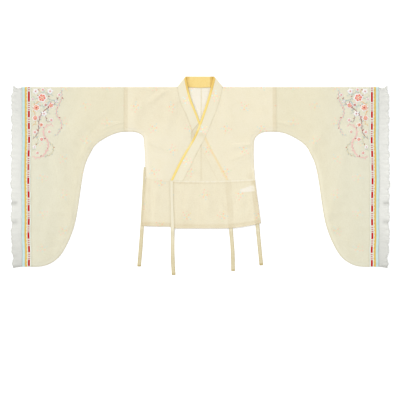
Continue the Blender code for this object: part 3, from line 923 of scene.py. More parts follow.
def fold_grid(side, back, top_x, front, lift=0.0):
    """The grid of a length that is folded over the shoulder line: up the back, half round over the
    fold and down the front. Each part is (x, drop), with x outward. Returns x, drop and z, and the
    distance from the fold along the cloth, which is below 0 on the back."""
    turn = np.linspace(0, np.pi, 9)[:, None]
    fold_x = np.broadcast_to(top_x, (len(turn), len(top_x)))
    fold_drop = FOLD * (1 - np.sin(turn)) + 0 * fold_x
    x = np.concatenate([back[0], fold_x, front[0]])
    drop = np.concatenate([back[1], fold_drop, front[1]])
    back_z = ridges(BACK_CREASES, back[0], back[1]) * lift * smooth((back[1] - FOLD) / FOLD_FADE)
    round_z = FOLD * (1 - np.cos(turn)) + 0 * fold_x
    z = np.concatenate([back_z, round_z, front_z(side, front[0] * side, front[1])])
    along = np.concatenate([-back[1], np.sign(turn - np.pi / 2) * fold_drop, front[1]])
    return x * side, drop, z, along


def seam_shade(side, x, drop):
    """Darker along the side, underarm and sleeve seam: the rolled seam's doubled cloth and painted
    shade. Paler beside it: painted light that offsets the shading where the cloth sinks to the seam.
    """
    off = distance_to(seam_path(side), np.abs(x), drop)
    return 0.42 * near(off, 3.0) - 0.16 * near(off - 11, 6.0)


def inner_collar(drop):
    """x of the inner collar's seam and of its free edge, and below the waist of the panel's edge."""
    seam, edge = collar_lines(-1, drop)
    down = (drop - WAIST_FRONT) / (HEM_MIDDLE[-1] - WAIST_FRONT)
    low = blend(PEPLUM_EDGE_TOP[-1], PEPLUM_EDGE_HEM[-1], down)
    return seam, np.where(drop > WAIST_FRONT - 5, low, edge)


def tie_middle(table, drop):
    """x of a tie's middle line at a drop, and half its width there."""
    x, down, width = line_through(table).T
    return np.interp(drop, down, x), np.interp(drop, down, width) / 2


def tag_half(along):
    """Half the tag's width at a place along it: it tapers to its free end."""
    return blend(TAG_FREE_WIDTH, TAG_WIDTH, along / TAG_LENGTH + 0.5) / 2


def shows_through(x, drop):
    """What the outer front lets through: the inner front as a denser tone, the seam of its collar and
    its gold edge, and below the waist the ties and the tag. Returns the shade and the gold."""
    seam, edge = inner_collar(drop)
    above = smooth((WAIST_FRONT - 2 - drop) / 3)
    inside = smooth((edge - x) / 2)
    gold = 0.36 * above * inside * smooth((x - edge + EDGING_CUT + 1) / 2)
    below = 1 - above
    shade = inside * (0.05 * smooth((drop - 150) / 60) - 0.02 * below)
    shade = shade + 0.12 * near(x - seam, 3.0) * above * smooth((drop - 280) / 40)
    side_tie = tie_middle(TIE_LEFT_SIDE, drop)[0]
    for middle, reach, dark in ((edge - 3, 12.0, 0.12), (side_tie, 9.5, 0.26)):
        off = np.abs(x - middle)
        shade = shade + below * (dark * smooth((reach - off) / 2) + 0.16 * near(off - reach, 2.0))
    along, aside = turned(x, drop, TAG_MIDDLE, TAG_TURN)
    half = tag_half(along)
    in_length = band(along, -TAG_LENGTH / 2, TAG_LENGTH / 2, 3)
    shade = shade + 0.12 * near(half - aside + 1, 2.0) * in_length
    return shade - 0.62 * in_length * band(aside, -half, half, 3), gold


# Shares across half the body: even columns, and closer ones at the middle seam and the armhole
BODY_CLOSER = np.linspace(0, 0.03, 9)[1:-1], np.linspace(0.93, 1, 13)[1:-1]
BODY_COLUMNS = np.unique(np.concatenate([np.linspace(0, 1, 70), *BODY_CLOSER]))
BODY_LOW_ROWS = 36
BODY_BACK_ROWS = 20


def body(side):
    """Front and back of one half. The rows down to the neck's end are level, and those below it bow
    down to the waist seam."""
    corner = arch(side)
    middle = MIDDLE_SEAM * side + SEAM / 2
    armhole = ARMHOLE - SEAM / 2
    neck = collar_rows(side, np.linspace(0, crossing(side), 60))
    neck_x = neck[:, 0] * side + SLANT_SEAM
    top_x = blend(neck_x[0] + FOLD, armhole, BODY_COLUMNS)

    below_arch = np.linspace(ARCH_END[side], LEVEL_END, 6)[1:]
    level = np.concatenate([np.arange(7, ARCH_TOP - 2, 5), [ARCH_TOP - SEAM], corner[:, 1], below_arch])
    inner = np.interp(level, neck[:, 1], neck_x)
    outer = side_x(side, level)
    outer[level < ARCH_TOP] = armhole
    level_x = across(inner, outer, BODY_COLUMNS)

    share = np.linspace(0, 1, BODY_LOW_ROWS + 1)[1:, None]
    low_outer = side_x(side, blend(LEVEL_END, WAIST_SIDE[side], share[:, 0]))
    low_x = across(np.full(BODY_LOW_ROWS, middle), low_outer, BODY_COLUMNS)
    low_drop = blend(LEVEL_END, waist(side, low_x, WAIST_FRONT) - SEAM / 2, share)
    front = np.concatenate([level_x, low_x]), np.concatenate([like(level, level_x), low_drop])

    high = np.linspace(ARCH_TOP - SEAM, BACK_NECK + SEAM, BODY_BACK_ROWS)
    back_level = np.concatenate([[LEVEL_END], corner[::-2, 1], high])
    back_outer = side_x(side, back_level)
    back_outer[back_level < ARCH_TOP] = armhole
    back_x = across(np.full(len(back_level), middle), back_outer, BODY_COLUMNS)
    back_drop = blend(LEVEL_END, waist(side, low_x, WAIST_BACK) - SEAM / 2, share)[::3]
    back = (
        np.concatenate([low_x[::-3], back_x]),
        np.concatenate([back_drop[::-1], like(back_level, back_x)]),
    )
    x, drop, z, along = fold_grid(side, back, top_x, front)
    place = np.abs(x)
    rows = len(back[0])
    collar_seam = np.interp(drop, neck[:, 1], neck_x)
    from_seam = x - MIDDLE_SEAM
    allowance = 0.25 * band(place, ARMHOLE + 1 - ALLOWANCE, ARMHOLE + 1, 2)
    # Lines along the seams here: doubled cloth, and partly painted shade of the seam's roll
    shade = seam_shade(side, x, drop) + allowance + 0.2 * near(place - ARMHOLE, 2.5)
    in_front = 0.14 * near(from_seam, 3.0) + 0.16 * near(place - collar_seam, 3.5)
    behind = 0.75 * near(from_seam - 1.0, 3.0) - 0.12 * near(from_seam + 5, 3.0) - 0.42
    # Painted shadow of the collar's edges on the back, each side of the neck opening
    behind = behind + 0.4 * near(place - 49, 5.0) * smooth((52 - drop) / 20)
    shade = shade + np.where((np.arange(len(x)) < rows)[:, None], behind, in_front)
    gold = 0.0
    front_only = along > 0
    if side > 0:
        through, gold = shows_through(x, drop)
        low_corner = 0.2 * near(np.hypot(x - 252, (drop - 452) / 1.6), 14)
        shade, gold = shade + (through + low_corner) * front_only, gold * front_only
    else:
        upper = 0.08 * smooth((350 - place) / 40) - 0.14 * smooth((drop - 120) / 180)
        shade = shade + (dive_shade(x, drop) + upper) * front_only
    name = f"body_{NAMES[side]}"
    cloth(name, (x, drop, z), "gauze", shade, (x, along), gold=gold)


def overlap(side):
    """The front's extra breadth past the middle seam, between that seam and the collar's seam."""
    rows = collar_rows(side, np.linspace(crossing(side) + 0.012, 1, 50))
    middle = MIDDLE_SEAM * side - SEAM / 2
    x = across(rows[:, 0] * side + SLANT_SEAM, np.full(len(rows), middle), 20)
    end = waist(side, x[-1], WAIST_FRONT) - SEAM / 2
    share = np.linspace(0, 1, len(rows))[:, None]
    drop = like(rows[:, 1], x) + (end - rows[-1, 1]) * share**6
    # Lines along both seams: doubled cloth, and partly painted shade of the seam's roll
    shade = 0.14 * near(x - middle, 3.0) + 0.2 * near(x - x[:, :1], 3.5)
    x = x * side
    gold = 0.0
    if side > 0:
        through, gold = shows_through(x, drop)
        shade = shade + through
    else:
        shade = shade + dive_shade(x, drop)
    grid = x, drop, front_z(side, x, drop)
    cloth(f"overlap_{NAMES[side]}", grid, "gauze", shade, gold=gold)


def dive_shade(x, drop):
    """Painted shadow where the inner front sinks under the outer collar's free edge: a small wedge,
    with a darker line where it starts to sink."""
    wedge = np.interp(drop, *zip(*DIVE_SHADOW))
    left = outer_edge(drop) - x
    inside = smooth((wedge - left) / 2.5) * smooth((left + 5) / 4)
    open_part = band(drop, DIVE_SHADOW[0][0], DIVE_SHADOW[-1][0], 6)
    return (0.26 * inside + 0.6 * near(left - wedge + 1.5, 2.4)) * open_part


def collar_front(side, share, count):
    """The collar's front as a grid: rows from the neck corner to the waist seam, and a column for each
    share of its breadth, from its seam (0) to its free edge (1)."""
    at = np.linspace(0, 1, count)[:, None]
    rows = collar_rows(side, at[:, 0])
    x = blend(rows[:, :1], rows[:, 2:3], share)
    drop = blend(rows[:, 1:2], rows[:, 3:4], share)
    drop = drop + (waist(side, x[-1], WAIST_FRONT) - SEAM / 2 - drop[-1]) * at**8
    return x, drop, front_z(side, x, drop)


def collar_back(share, steps):
    """x and drop of the collar's back between the neck corners. Its seam dips in the middle."""
    start, end = (collar_rows(side, [0.0])[0] for side in (1, -1))
    seam_x, seam_drop, edge_x, edge_drop = (blend(a, b, steps)[:, None] for a, b in zip(start, end))
    seam_drop = seam_drop + (BACK_NECK - start[1]) * (1 - np.abs(2 * steps[:, None] - 1))
    return blend(seam_x, edge_x, share), blend(seam_drop, edge_drop, share)


# Where the print falls on the collar, and the steps of its grid
COLLAR_PRINT = (66.0, 72.0)
COLLAR_ROWS = 150
COLLAR_COLUMNS = 22


def collar():
    """One strip: up the left front, over the neck corner, along the back neck, over the other corner
    and down the right front."""
    share = np.linspace(0, 1, COLLAR_COLUMNS)
    back_x, back_drop = collar_back(share, np.linspace(0, 1, 30))
    turn = np.linspace(0, np.pi, 9)[1:-1, None]
    stretches = {0: (back_x, back_drop, 0 * back_x)}
    for side in (1, -1):
        front = collar_front(side, share, COLLAR_ROWS)
        x, drop = front[0][0], front[1][0]
        run = side * unit(np.array([x[-1] - x[0], drop[-1] - drop[0]]))
        reach = FOLD * np.sin(turn)
        corner = x - run[1] * reach, drop + run[0] * reach, FOLD * (1 - np.cos(turn)) + 0 * x
        stretches[side] = [np.concatenate([a, b]) for a, b in zip(corner, front)]
    parts = ([part[::-1] for part in stretches[1]], stretches[0], stretches[-1])
    x, drop, z = (np.concatenate(part) for part in zip(*parts))
    along = travelled(np.stack([x, drop], axis=-1).mean(axis=1))[:, None] + 0 * x
    breadth = share * COLLAR_BREADTH + 0 * x
    # Lines along the seam and the waist seam: doubled cloth, and partly painted shade of the seam's roll
    shade = 0.22 * near(breadth, 3.0) + 0.3 * near(drop - WAIST_FRONT, 3.0)
    # Painted shade of a soft wrinkle in the band at the crossing
    shade = shade + 0.3 * near(np.hypot((x - 6) / 1.5, drop - 238), 14.0)
    shade = shade + 0.07 * smooth(x / 20) * smooth((200 - drop) / 150)
    right = (np.arange(len(x)) > len(x) / 2)[:, None]
    shade = shade + right * dive_shade(x, drop)
    place = along - COLLAR_PRINT[0], breadth + COLLAR_PRINT[1]
    cloth("collar", (x, drop, z), "collar_gauze", shade, place)


# Where the left edging is darker or paler: (start, end, tone)
EDGING_MARKS = ((216, 276, 0.24), (186, 222, -0.4), (276, 312, -0.4), (304, 352, -0.12))


def edging(side):
    """The gold edge of the collar's front: a flat strip with rounded sides, on the collar."""
    share = np.linspace(1 - EDGING_SHARE, 1.0, 9)
    x, drop, z = collar_front(side, share, COLLAR_ROWS)
    round_off = 0.5 * np.linspace(-1, 1, 9) ** 4
    along = travelled(np.stack([x[:, 0], drop[:, 0]], axis=1))[:, None] + 0 * x
    breadth = np.linspace(0, EDGING_CUT, 9) + 0 * x
    shade = 0.25 * (near(breadth, 1.2) + near(breadth - EDGING_CUT, 1.2)) + 0.55 * smooth((40 - drop) / 40)
    if side > 0:
        shade = shade + sum(tone * band(drop, start, end, 8) for start, end, tone in EDGING_MARKS)
    grid = x, drop, z + HAIR + SHELL - round_off
    place = breadth, along
    cloth(f"collar_edging_{NAMES[side]}", grid, "gold_edging", shade, place)


def facing():
    """The gold facing on the inside of the collar's back, with a soft fold near each end."""
    x, drop = collar_back(np.linspace(FACING_INSET, 1, 12), np.linspace(0, 1, 70))
    fold = near(np.abs(x) - 58, 7.0)
    ripple = 0.3 * np.sin(x / 7.0) * np.sin(drop / 11.0)
    # Painted shade on the folds near both ends and in the corners; darker along the lower border
    shade = 0.42 * smooth((-50 - x) / 8) + 0.7 * smooth((x - 45) / 4) + 0.3 * near(drop - 4, 3.0)
    shade = shade + 0.3 * near(np.hypot(np.abs(x) - 64, drop + 48), 10.0)
    shade = shade + 0.25 * near(np.hypot(x + 50, drop), 16.0) - 0.35 * near(x - 47, 3.0)
    z = 2 * SHELL + HAIR + 0.3 + 1.1 * fold + ripple
    grid = [part[::-1] for part in (x, drop, z)]
    cloth("collar_facing", grid, "gold", shade[::-1])


# How far out the cuff wavers down its length, from nothing where it starts on the sleeve, and how much
# farther out the left cuff's bands lie, down to nothing where that ends on the frill
SWAY_START = 200.0
SWAY_STEP = 68.0
SWAY = (0, -0.9, 1.4, 2.4, 3.2, 1.5, 1.1, 0.9, 2.3, -0.8, 0)
SWAY_FROM = 780.0
LEFT_ASIDE = 2.0
LEFT_ASIDE_TO = 920.0


def sway(x, drop):
    """How the cuff wavers, from nothing at the sleeve's middle to all at its mouth."""
    at = np.clip((drop - SWAY_START) / SWAY_STEP, 0, len(SWAY) - 1)
    bow = spline(np.array(SWAY, float)[:, None], np.ravel(at))[:, 0].reshape(np.shape(at))
    aside = LEFT_ASIDE * smooth((LEFT_ASIDE_TO - np.abs(x)) / 34) * (x > 0)
    return smooth((np.abs(x) - SWAY_FROM) / 60) * (bow + aside) * np.sign(x)


# The sleeve is cut across the print, so its rows run down
SLEEVE_PRINT = (50.0, 42.5)
SLEEVE_COLUMNS = 92
SLEEVE_ROWS = 150
SLEEVE_BACK_ROWS = 40


def sleeve(side):
    """A folded length between the armhole and the cuff. Its columns fan out from the shoulder fold to
    even steps along the rounded lower edge."""
    low = sleeve_edge(SLEEVE_COLUMNS)
    ends = SLEEVE_SEAM + SEAM / 2, RIBBON[0] - SEAM / 2
    top_x = np.linspace(*ends, SLEEVE_COLUMNS)
    low_x = np.clip(low[:, 0], *ends)
    down = 1 - (1 - np.linspace(0, 1, SLEEVE_ROWS + 1)[1:, None]) ** SLEEVE_CROWDING
    up = np.linspace(1, 0, SLEEVE_BACK_ROWS + 1)[:-1, None]
    grids = [(blend(top_x, low_x, way), blend(FOLD, low[:, 1], way)) for way in (up, down)]
    x, drop, z, along = fold_grid(side, grids[0], top_x, grids[1], 1.0)
    place = np.abs(x)
    # Lines along the armhole and cuff seams: doubled cloth, and partly painted shade of the seam's roll
    shade = seam_shade(side, x, drop) + 0.2 * near(place - SLEEVE_SEAM, 2.5)
    shade = shade + 0.2 * near(place - RIBBON[0], 3.0) + 0.07 * smooth((drop - 420) / 480)
    place = along - SLEEVE_PRINT[0], place - SLEEVE_PRINT[1]
    grid = x + sway(x, drop), drop, z
    cloth(f"sleeve_{NAMES[side]}", grid, "sleeve_gauze", shade, place)


def cuff_grid(side, reach, columns, back_rows, front_rows):
    """A folded band round the sleeve's mouth, from one distance out to another, and the place across
    it, from its middle."""
    front_drop = blend(FOLD, CUFF_DROP, np.linspace(0, 1, front_rows + 1)[1:])
    back_drop = np.linspace(CUFF_DROP, FOLD, back_rows + 1)[:-1]
    x = np.linspace(reach[0] + SEAM / 2, reach[1] - SEAM / 2, columns)
    back, front = (np.meshgrid(x, drop) for drop in (back_drop, front_drop))
    x, drop, z, along = fold_grid(side, back, x, front)
    return x, drop, z, along, np.abs(x) - sum(reach) / 2


# The bands from the sleeve outwards, each with how far its face is crowned, and how much lower the left
# ribbon's figure lies than the right one's
CUFF_BANDS = (("ribbon", RIBBON, 0.25), ("trim", TRIM, 0.5), ("binding", BINDING, 0.6))
LEFT_RIBBON_LOW = 2.3


def cuff_band(kind, side, reach, crown):
    """A band of the cuff, sewn edge to edge to its neighbours, with a slightly crowned face."""
    x, drop, z, along, off = cuff_grid(side, reach, 7, 60, 300)
    half = (reach[1] - reach[0]) / 2
    z = z + (along > FOLD) * crown * (1 - (off / half) ** 2)
    shade = 0.55 * near(np.abs(off) - half, 2.2) - 0.1 * np.cos(2 * np.pi * drop / 29.0)
    low = LEFT_RIBBON_LOW if kind == "ribbon" and side > 0 else 0.0
    grid = x + sway(x, drop), drop, z
    cloth(f"cuff_{kind}_{NAMES[side]}", grid, kind, shade, (off, along - low))


def frill_grid(side):
    """The frill's grid: main waves as in its solid, fine gathers that start at its root, and a top
    corner that dips and then flicks up. Returns x, drop, z and the place, then the shares that shade
    it: how far out, the wave and the gathers."""
    x, drop, z, along, off = cuff_grid(side, FRILL, 13, 130, 360)
    out = (np.abs(x) - FRILL[0]) / (FRILL[1] - FRILL[0])
    wave = drop / FRILL_PITCH + sum(share * np.sin(drop / length) for share, length in FRILL_UNEVEN)
    lying_up = (along > FOLD) * smooth((drop - FOLD) / FOLD_FADE)
    gathers = np.sin(drop / 1.15 + 1.4 * np.sin(drop / 9.0)) * (1 - out) * smooth(out * 12)
    z = z + lying_up * out * FRILL_LIE * (1 - np.cos(2 * np.pi * wave)) / 2
    z = z + lying_up * gathers * 0.25
    x = x + side * out * FRILL_WANDER * np.sin(np.pi * wave + 1) * np.cos(drop / FRILL_SWAY)
    x = x + side * out**2 * 1.1 * np.sin(drop / 3.4 + np.sin(drop / 17.0)) + sway(x, drop)
    x = x - side * out**2 * (13.0 * near(drop, 24.0) + 5.0 * smooth((drop - 770) / 120))
    fall = out * blend(-FRILL_RISE, FRILL_FALL, drop / CUFF_DROP)
    fall = fall + (30.0 * out * (1 - out) - 4.0 * out**3) * near(drop, 26.0)
    return x, drop + fall, z, (off, along * FRILL_FULLNESS), (out, wave, gathers)


# Painted shadows of single gathers of the frill: (drop, reach, tone)
FRILL_FOLD_SHADOWS = ((580, 9.0, 0.7), (674, 12.0, 0.45))
FRILL_HEM_RADIUS = 0.75
FRILL_HEM_FLAT = 0.6


def frill(side):
    """The gathered frill: darker at its root, along its hem and towards both ends, with painted shade in
    the troughs of its waves and gathers and painted shadows of two single gathers.
    """
    x, drop, z, place, (out, wave, gathers) = frill_grid(side)
    # Painted shade in the troughs of the gathers (here) and of the waves (next line)
    shade = 0.45 * near(out, 0.07) + 0.3 * near(out - 1, 0.06) - gathers * 0.12
    shade = shade + 0.05 * np.cos(2 * np.pi * wave) * out + 0.38 * smooth((drop - 600) / 300)
    shade = shade + 0.12 * smooth((260 - drop) / 160) + 0.3 * near(drop, 14.0)
    shade = shade + 0.5 * near(drop - CUFF_DROP, 7.0)
    fold_shadows = sum(tone * near(drop - at, reach) for at, reach, tone in FRILL_FOLD_SHADOWS)
    shade = shade + fold_shadows * smooth((out - 0.3) / 0.3)
    name = f"cuff_frill_{NAMES[side]}"
    cloth(name, (x, drop, z), "frill", shade, place, THIN_SHELL)


def frill_hem(side):
    """The frill's narrow rolled hem: a cord along its outer edge, up the back and down the front."""
    x, drop, z = (part[:, -1] for part in frill_grid(side)[:3])
    z = np.maximum(z - HAIR, FRILL_HEM_RADIUS * FRILL_HEM_FLAT)
    outward = np.broadcast_to((1.0, 0, 0), (len(x), 3))
    size = FRILL_HEM_RADIUS, FRILL_HEM_FLAT
    tube(f"frill_hem_{NAMES[side]}", (x, drop, z), size, "frill_hem", outward)


# The trim's white lace: the pitch of its scallops, the breadth of its plain strip, the scallops' depth,
# how far it starts inside the trim's edge, and how high it lies over the front
LACE_PITCH = 17.5
LACE_BAND = 1.4
LACE_SCALLOP = 3.0
LACE_OVER = 1.6
LACE_LIFT = 1.0


def lace(side):
    """White scalloped edge on the golden trim: each scallop is half a wave of a sine."""
    drop = np.linspace(3, CUFF_DROP, 420)[:, None]
    scallop = np.abs(np.sin(np.pi * drop / LACE_PITCH)) ** 0.7
    out = np.linspace(0, 1, 5)
    x = (TRIM[0] - LACE_OVER + out * (LACE_BAND + LACE_SCALLOP * scallop)) * side
    drop = drop + 0 * x
    points = world(x + sway(x, drop), drop, front_z(side, x, drop) + LACE_LIFT)
    shade = 0.3 * near(out, 0.2) + 0 * x
    thicken(surface(f"lace_edge_{NAMES[side]}", points, (x, drop), "lace", shade))


def panel(top, low, rows, columns):
    """x of a waist panel, row by row, between two edges that run straight from its top to its hem."""
    down = np.linspace(0, 1, rows)
    return across(blend(top[0], low[0], down), blend(top[1], low[1], down), columns)


def hem_shade(drop, low, x, tone=0.2):
    """The doubled hem along the bottom and both edges, each with its line of sewing."""
    up = low - drop
    edge = np.minimum(np.abs(x - x[:, :1]), np.abs(x - x[:, -1:]))
    shade = tone * smooth((HEM_DEPTH - up) / 3) + 0.12 * near(up - HEM_DEPTH, 2.0) + 0.2 * near(up, 2.5)
    return shade + 0.12 * smooth((EDGE_HEM_DEPTH - edge) / 3) + 0.2 * near(edge, 2.5)


# Where the print falls on each front panel
PEPLUM_PRINT = {1: (18.0, -9.0), -1: (60.0, 50.0)}


def peplum_front(side):
    """A front waist panel, puckered along the waist seam. The left one lies over the right one."""
    top_ends = PEPLUM_EDGE_TOP[side], PEPLUM_TOP_SIDE[side] * side
    low_ends = PEPLUM_EDGE_HEM[side], PEPLUM_HEM_SIDE[side] * side
    x = panel(top_ends, low_ends, 48, 84)
    down = np.linspace(0, 1, len(x))[:, None]
    low = hem(side, x, HEM_MIDDLE[side])
    top = waist(side, x, WAIST_FRONT) + SEAM / 2
    drop = blend(top, low, down)
    shade = hem_shade(drop, low, x, 0.2 if side > 0 else 0.28) + 0.05
    # Painted highlights on the puckers just below the waist seam, then a darker line below them
    pale = near(drop - top - 3, 3.5) * (0.25 + 0.35 * np.abs(np.sin(x / 9.3 + np.sin(x / 27))))
    crisp = 2 - smooth((x + 40) / 80) if side > 0 else 0.4
    shade = shade + 0.2 * near(drop - top - 10, 4.0) * crisp - pale * (1 if side > 0 else 0.5)
    place = x + PEPLUM_PRINT[side][0], drop + PEPLUM_PRINT[side][1]
    if side > 0:
        shade = shade + shows_through(x, drop)[0]
        shade = shade + 0.14 * near(np.hypot((x + 75) / 1.4, drop - 684), 34.0)
        # Painted shadow of the left front tie along both its sides, stronger on the right
        middle, reach = tie_middle(TIE_LEFT_FRONT, drop)
        shade = shade + 0.3 * near(x - middle - reach - 2, 3.5) + 0.12 * near(x - middle + reach + 2, 3.0)
    else:
        shade = shade + 0.12 * smooth((-244 - x) / 10)
        shade = shade + 0.12 * near(x + 274, 8.0) * smooth((drop - 560) / 60)
    pucker = np.sin(x / 2.9 + 1.2 * np.sin(x / 13.0)) * 0.5 * near(drop - top, 13.0)
    z = front_z(side, x, drop) + pucker * (1 if side > 0 else 0.3)
    cloth(f"peplum_{NAMES[side]}", (x, drop, z), "gauze", shade, place)


def peplum_back():
    """The back waist panel, flat on the surface. Each half's hem and waist seam are that side's."""
    top_ends = -PEPLUM_TOP_SIDE[-1], PEPLUM_TOP_SIDE[1]
    low_ends = -BACK_HEM_RIGHT, PEPLUM_HEM_SIDE[1]
    x = panel(top_ends, low_ends, 30, 60)
    down = np.linspace(0, 1, len(x))[:, None]
    lows = [hem(side, x, HEM_BACK) for side in (1, -1)]
    tops = [waist(side, x, WAIST_BACK) + SEAM / 2 for side in (1, -1)]
    low, top = (np.where(x > 0, one, other) for one, other in (lows, tops))
    drop = blend(top, low, down)
    grid = x, drop, np.full(x.shape, SHELL)
    cloth("peplum_back", grid, "gauze", hem_shade(drop, low, x))


def tie(name, table, layer, leaves, tone=0.3, loose=0.235):
    """A flat tie along its middle line, a little wavy. It lies on its layer, and past the drop where it
    leaves the hem it settles on the surface below. Its tones say how dark it is over the panel and
    where it hangs loose."""
    middle, down, width = line_through(table, 120).T
    share = np.linspace(-1, 1, 9)
    x = middle[:, None] + share * width[:, None] / 2
    drop = like(down, x)
    settle = 1 - smooth((drop - leaves) / TIE_SETTLE)
    ripple = 0.5 + 0.3 * np.sin(drop / 17.0 + table[0][0]) + 0.15 * share * np.sin(drop / 31.0)
    end = down[-1] - drop
    z = SHELL + layer * settle + ripple * (1 - settle * 0.7)
    shade = blend(tone, loose, smooth((drop - leaves + 10) / 16)) + 0.5 * near(np.abs(share) - 1, 0.25)
    # The term at the hem is painted light: it lifts the hem's shadow where the tie leaves it
    shade = shade + (0.43 - loose) * smooth((drop - leaves) / 220) - 0.22 * near(drop - leaves - 4, 8)
    shade = shade + 0.35 * near(end - 6, 2.0) + 0.3 * smooth((7 - end) / 2)
    place = share * width[:, None] / 2, drop
    cloth(name, (x, drop, z), "tie_gauze", shade, place)


def side_tag():
    """The folded tag: a bare white tape, drawn as one tapering layer with a darker line along its fold."""
    along = np.linspace(-TAG_LENGTH / 2, TAG_LENGTH / 2, 30)
    half = tag_half(along)
    aside = np.linspace(-1, 1, 14)[:, None] * half
    from_x, from_drop = turned(along, aside, (0, 0), -TAG_TURN)
    x, drop = TAG_MIDDLE[0] + from_x, TAG_MIDDLE[1] + from_drop
    z = INNER + SHELL + 0.25 * np.cos(along / 11.0) * np.cos(aside / 9.0) + 0.25
    edge = np.minimum(TAG_LENGTH / 2 - np.abs(along), half - np.abs(aside))
    shade = 0.7 * near(edge, 2.0) + 0.5 * near(aside - 3.0, 2.0)
    cloth("side_tag", (x, drop, z), "tag", shade, (along + 0 * aside, aside + 0 * along))


# Sewing


def tube(name, path, size, finish, aside=None):
    """A rolled seam: an ellipse of eight points carried along a path, closed to a point at each end.
    Its size is the half breadth, and the share of it that the half height is. It is broad level with
    the surface, or in a given direction where the path runs over a fold."""
    line = world(*path)
    radius, flatness = size
    run = unit(np.gradient(line, axis=0))
    if aside is None:
        aside = unit(np.cross(run, UP))
    over = np.cross(aside, run)
    turn = np.linspace(0, 2 * np.pi, 9)[:-1]
    reach = np.full(len(line), radius * MM)
    reach[[0, -1]] = 0
    hoop = aside[:, None] * np.cos(turn)[:, None] + flatness * over[:, None] * np.sin(turn)[:, None]
    points = line[:, None] + hoop * reach[:, None, None]
    along = travelled(line)[:, None] / MM
    surface(name, points, (turn * radius + 0 * along, along + 0 * turn), finish, wrap=True)


# The length of a running stitch, and how far its middle rises
STITCH_LENGTH = 2.6
STITCH_ARCH = 0.3


def stitches(name, lines, gap, radius, finish):
    """Running stitches along paths of (x, drop, z): each is a small spindle with four sides, which
    dips into the cloth at both ends."""
    starts, ends = [], []
    for line in lines:
        line = world(*line)
        along = travelled(line) / MM
        first = np.arange(gap, along[-1] - STITCH_LENGTH, STITCH_LENGTH + gap)
        starts.append(points_at(line, along, first))
        ends.append(points_at(line, along, first + STITCH_LENGTH))
    start, end = np.concatenate(starts), np.concatenate(ends)
    run = end - start
    aside = np.cross(unit(run), UP)
    turn = np.linspace(0, 2 * np.pi, 5)[:-1]
    share = np.array([0.0, 0.25, 0.75, 1.0])
    size = np.array([0.0, 1.0, 1.0, 0.0]) * radius * MM
    hoop = aside[:, None] * np.cos(turn)[:, None] + UP * np.sin(turn)[:, None]
    middle = start[:, None] + run[:, None] * share[:, None]
    middle = middle + UP * STITCH_ARCH * MM * np.sin(np.pi * share)[:, None]
    points = middle[:, :, None] + hoop[:, None] * size[:, None, None]
    place = np.zeros(points.shape[:-1])
    surface(name, points, (place, place), finish, wrap=True)


# Embroidery: a plain floral spray near each cuff, drawn for the left sleeve and mirrored
FLOSS = {
    "coral": dyed(244, 100, 56),
    "orange": dyed(248, 156, 96),
    "wine": dyed(170, 62, 62),
    "white": dyed(250, 248, 246),
    "pink": dyed(246, 194, 188),
    "teal": dyed(186, 206, 200),
    "grey": dyed(176, 186, 180),
    "yellow": dyed(236, 214, 140),
}

# Each blossom is (x, drop, radius, petals, turn, outer petals, inner petals, heart)
BLOSSOMS = (
    (790, 54, 25, 6, 10, "coral", "orange", "white"),
    (822, 22, 15, 5, 50, "white", "pink", "wine"),
    (750, 22, 16, 5, 30, "white", "pink", "coral"),
    (746, 92, 16, 5, 0, "coral", "orange", "yellow"),
    (818, 104, 20, 6, 20, "orange", "coral", "wine"),
    (780, 134, 15, 5, 40, "white", "pink", "wine"),
    (824, 156, 15, 6, 70, "coral", "orange", "yellow"),
    (794, 190, 14, 5, 15, "orange", "coral", "wine"),
    (826, 226, 12, 5, 30, "pink", "coral", "yellow"),
    (792, 262, 12, 5, 55, "coral", "orange", "white"),
    (828, 300, 10, 5, 10, "white", "pink", "coral"),
    (704, 40, 10, 5, 15, "pink", "coral", "white"),
    (744, 166, 11, 5, 50, "pink", "coral", "white"),
    (772, 90, 10, 5, 65, "wine", "coral", "yellow"),
    (836, 62, 9, 5, 5, "pink", "white", "wine"),
    (718, 72, 8, 5, 35, "white", "pink", "yellow"),
    (802, 150, 9, 5, 0, "wine", "orange", "white"),
    (754, 224, 10, 5, 20, "orange", "pink", "white"),
    (786, 14, 10, 5, 45, "pink", "coral", "yellow"),
    (812, 330, 9, 5, 25, "coral", "pink", "yellow"),
)

# Each stem is (width, colour, leaf colour, leaf length, its points' x and drop in turn)
STEMS = (
    (5.0, "pink", "pink", 13, (838, 348, 800, 352, 768, 322, 760, 276, 782, 236, 770, 196, 738, 190)),
    (4.0, "pink", "teal", 13, (696, 10, 692, 56, 712, 98, 716, 140, 694, 176, 700, 216, 722, 244)),
    (3.0, "wine", "grey", 15, (838, 262, 810, 226, 806, 178, 790, 132, 758, 104, 728, 84, 708, 52)),
    (2.4, "orange", "yellow", 12, (838, 196, 820, 160, 832, 98, 798, 64, 806, 10)),
    (2.0, "teal", "teal", 14, (708, 84, 736, 66, 772, 94, 800, 92, 838, 78)),
    (1.6, "teal", "grey", 13, (744, 8, 762, 40, 752, 72, 764, 108, 752, 140)),
    (1.6, "yellow", "grey", 11, (760, 276, 738, 290, 734, 318, 752, 340, 776, 344)),
    (1.4, "wine", "teal", 10, (790, 128, 772, 150, 764, 174, 740, 166)),
    (1.4, "grey", "teal", 13, (838, 44, 820, 60, 796, 30, 770, 30, 730, 44)),
    (1.4, "yellow", "teal", 11, (838, 322, 818, 290, 812, 262, 826, 226)),
)

# How far a leaf turns from its stem and how broad it is for its length, how pale a petal's tip is, how
# far the floss lies above the cloth, and the steps along a stem
LEAF_TURN = 48.0
LEAF_SHAPE = 0.36
PALE_TIP = 0.22
FLOSS_CLEAR = 0.1
STEM_STEPS = 90


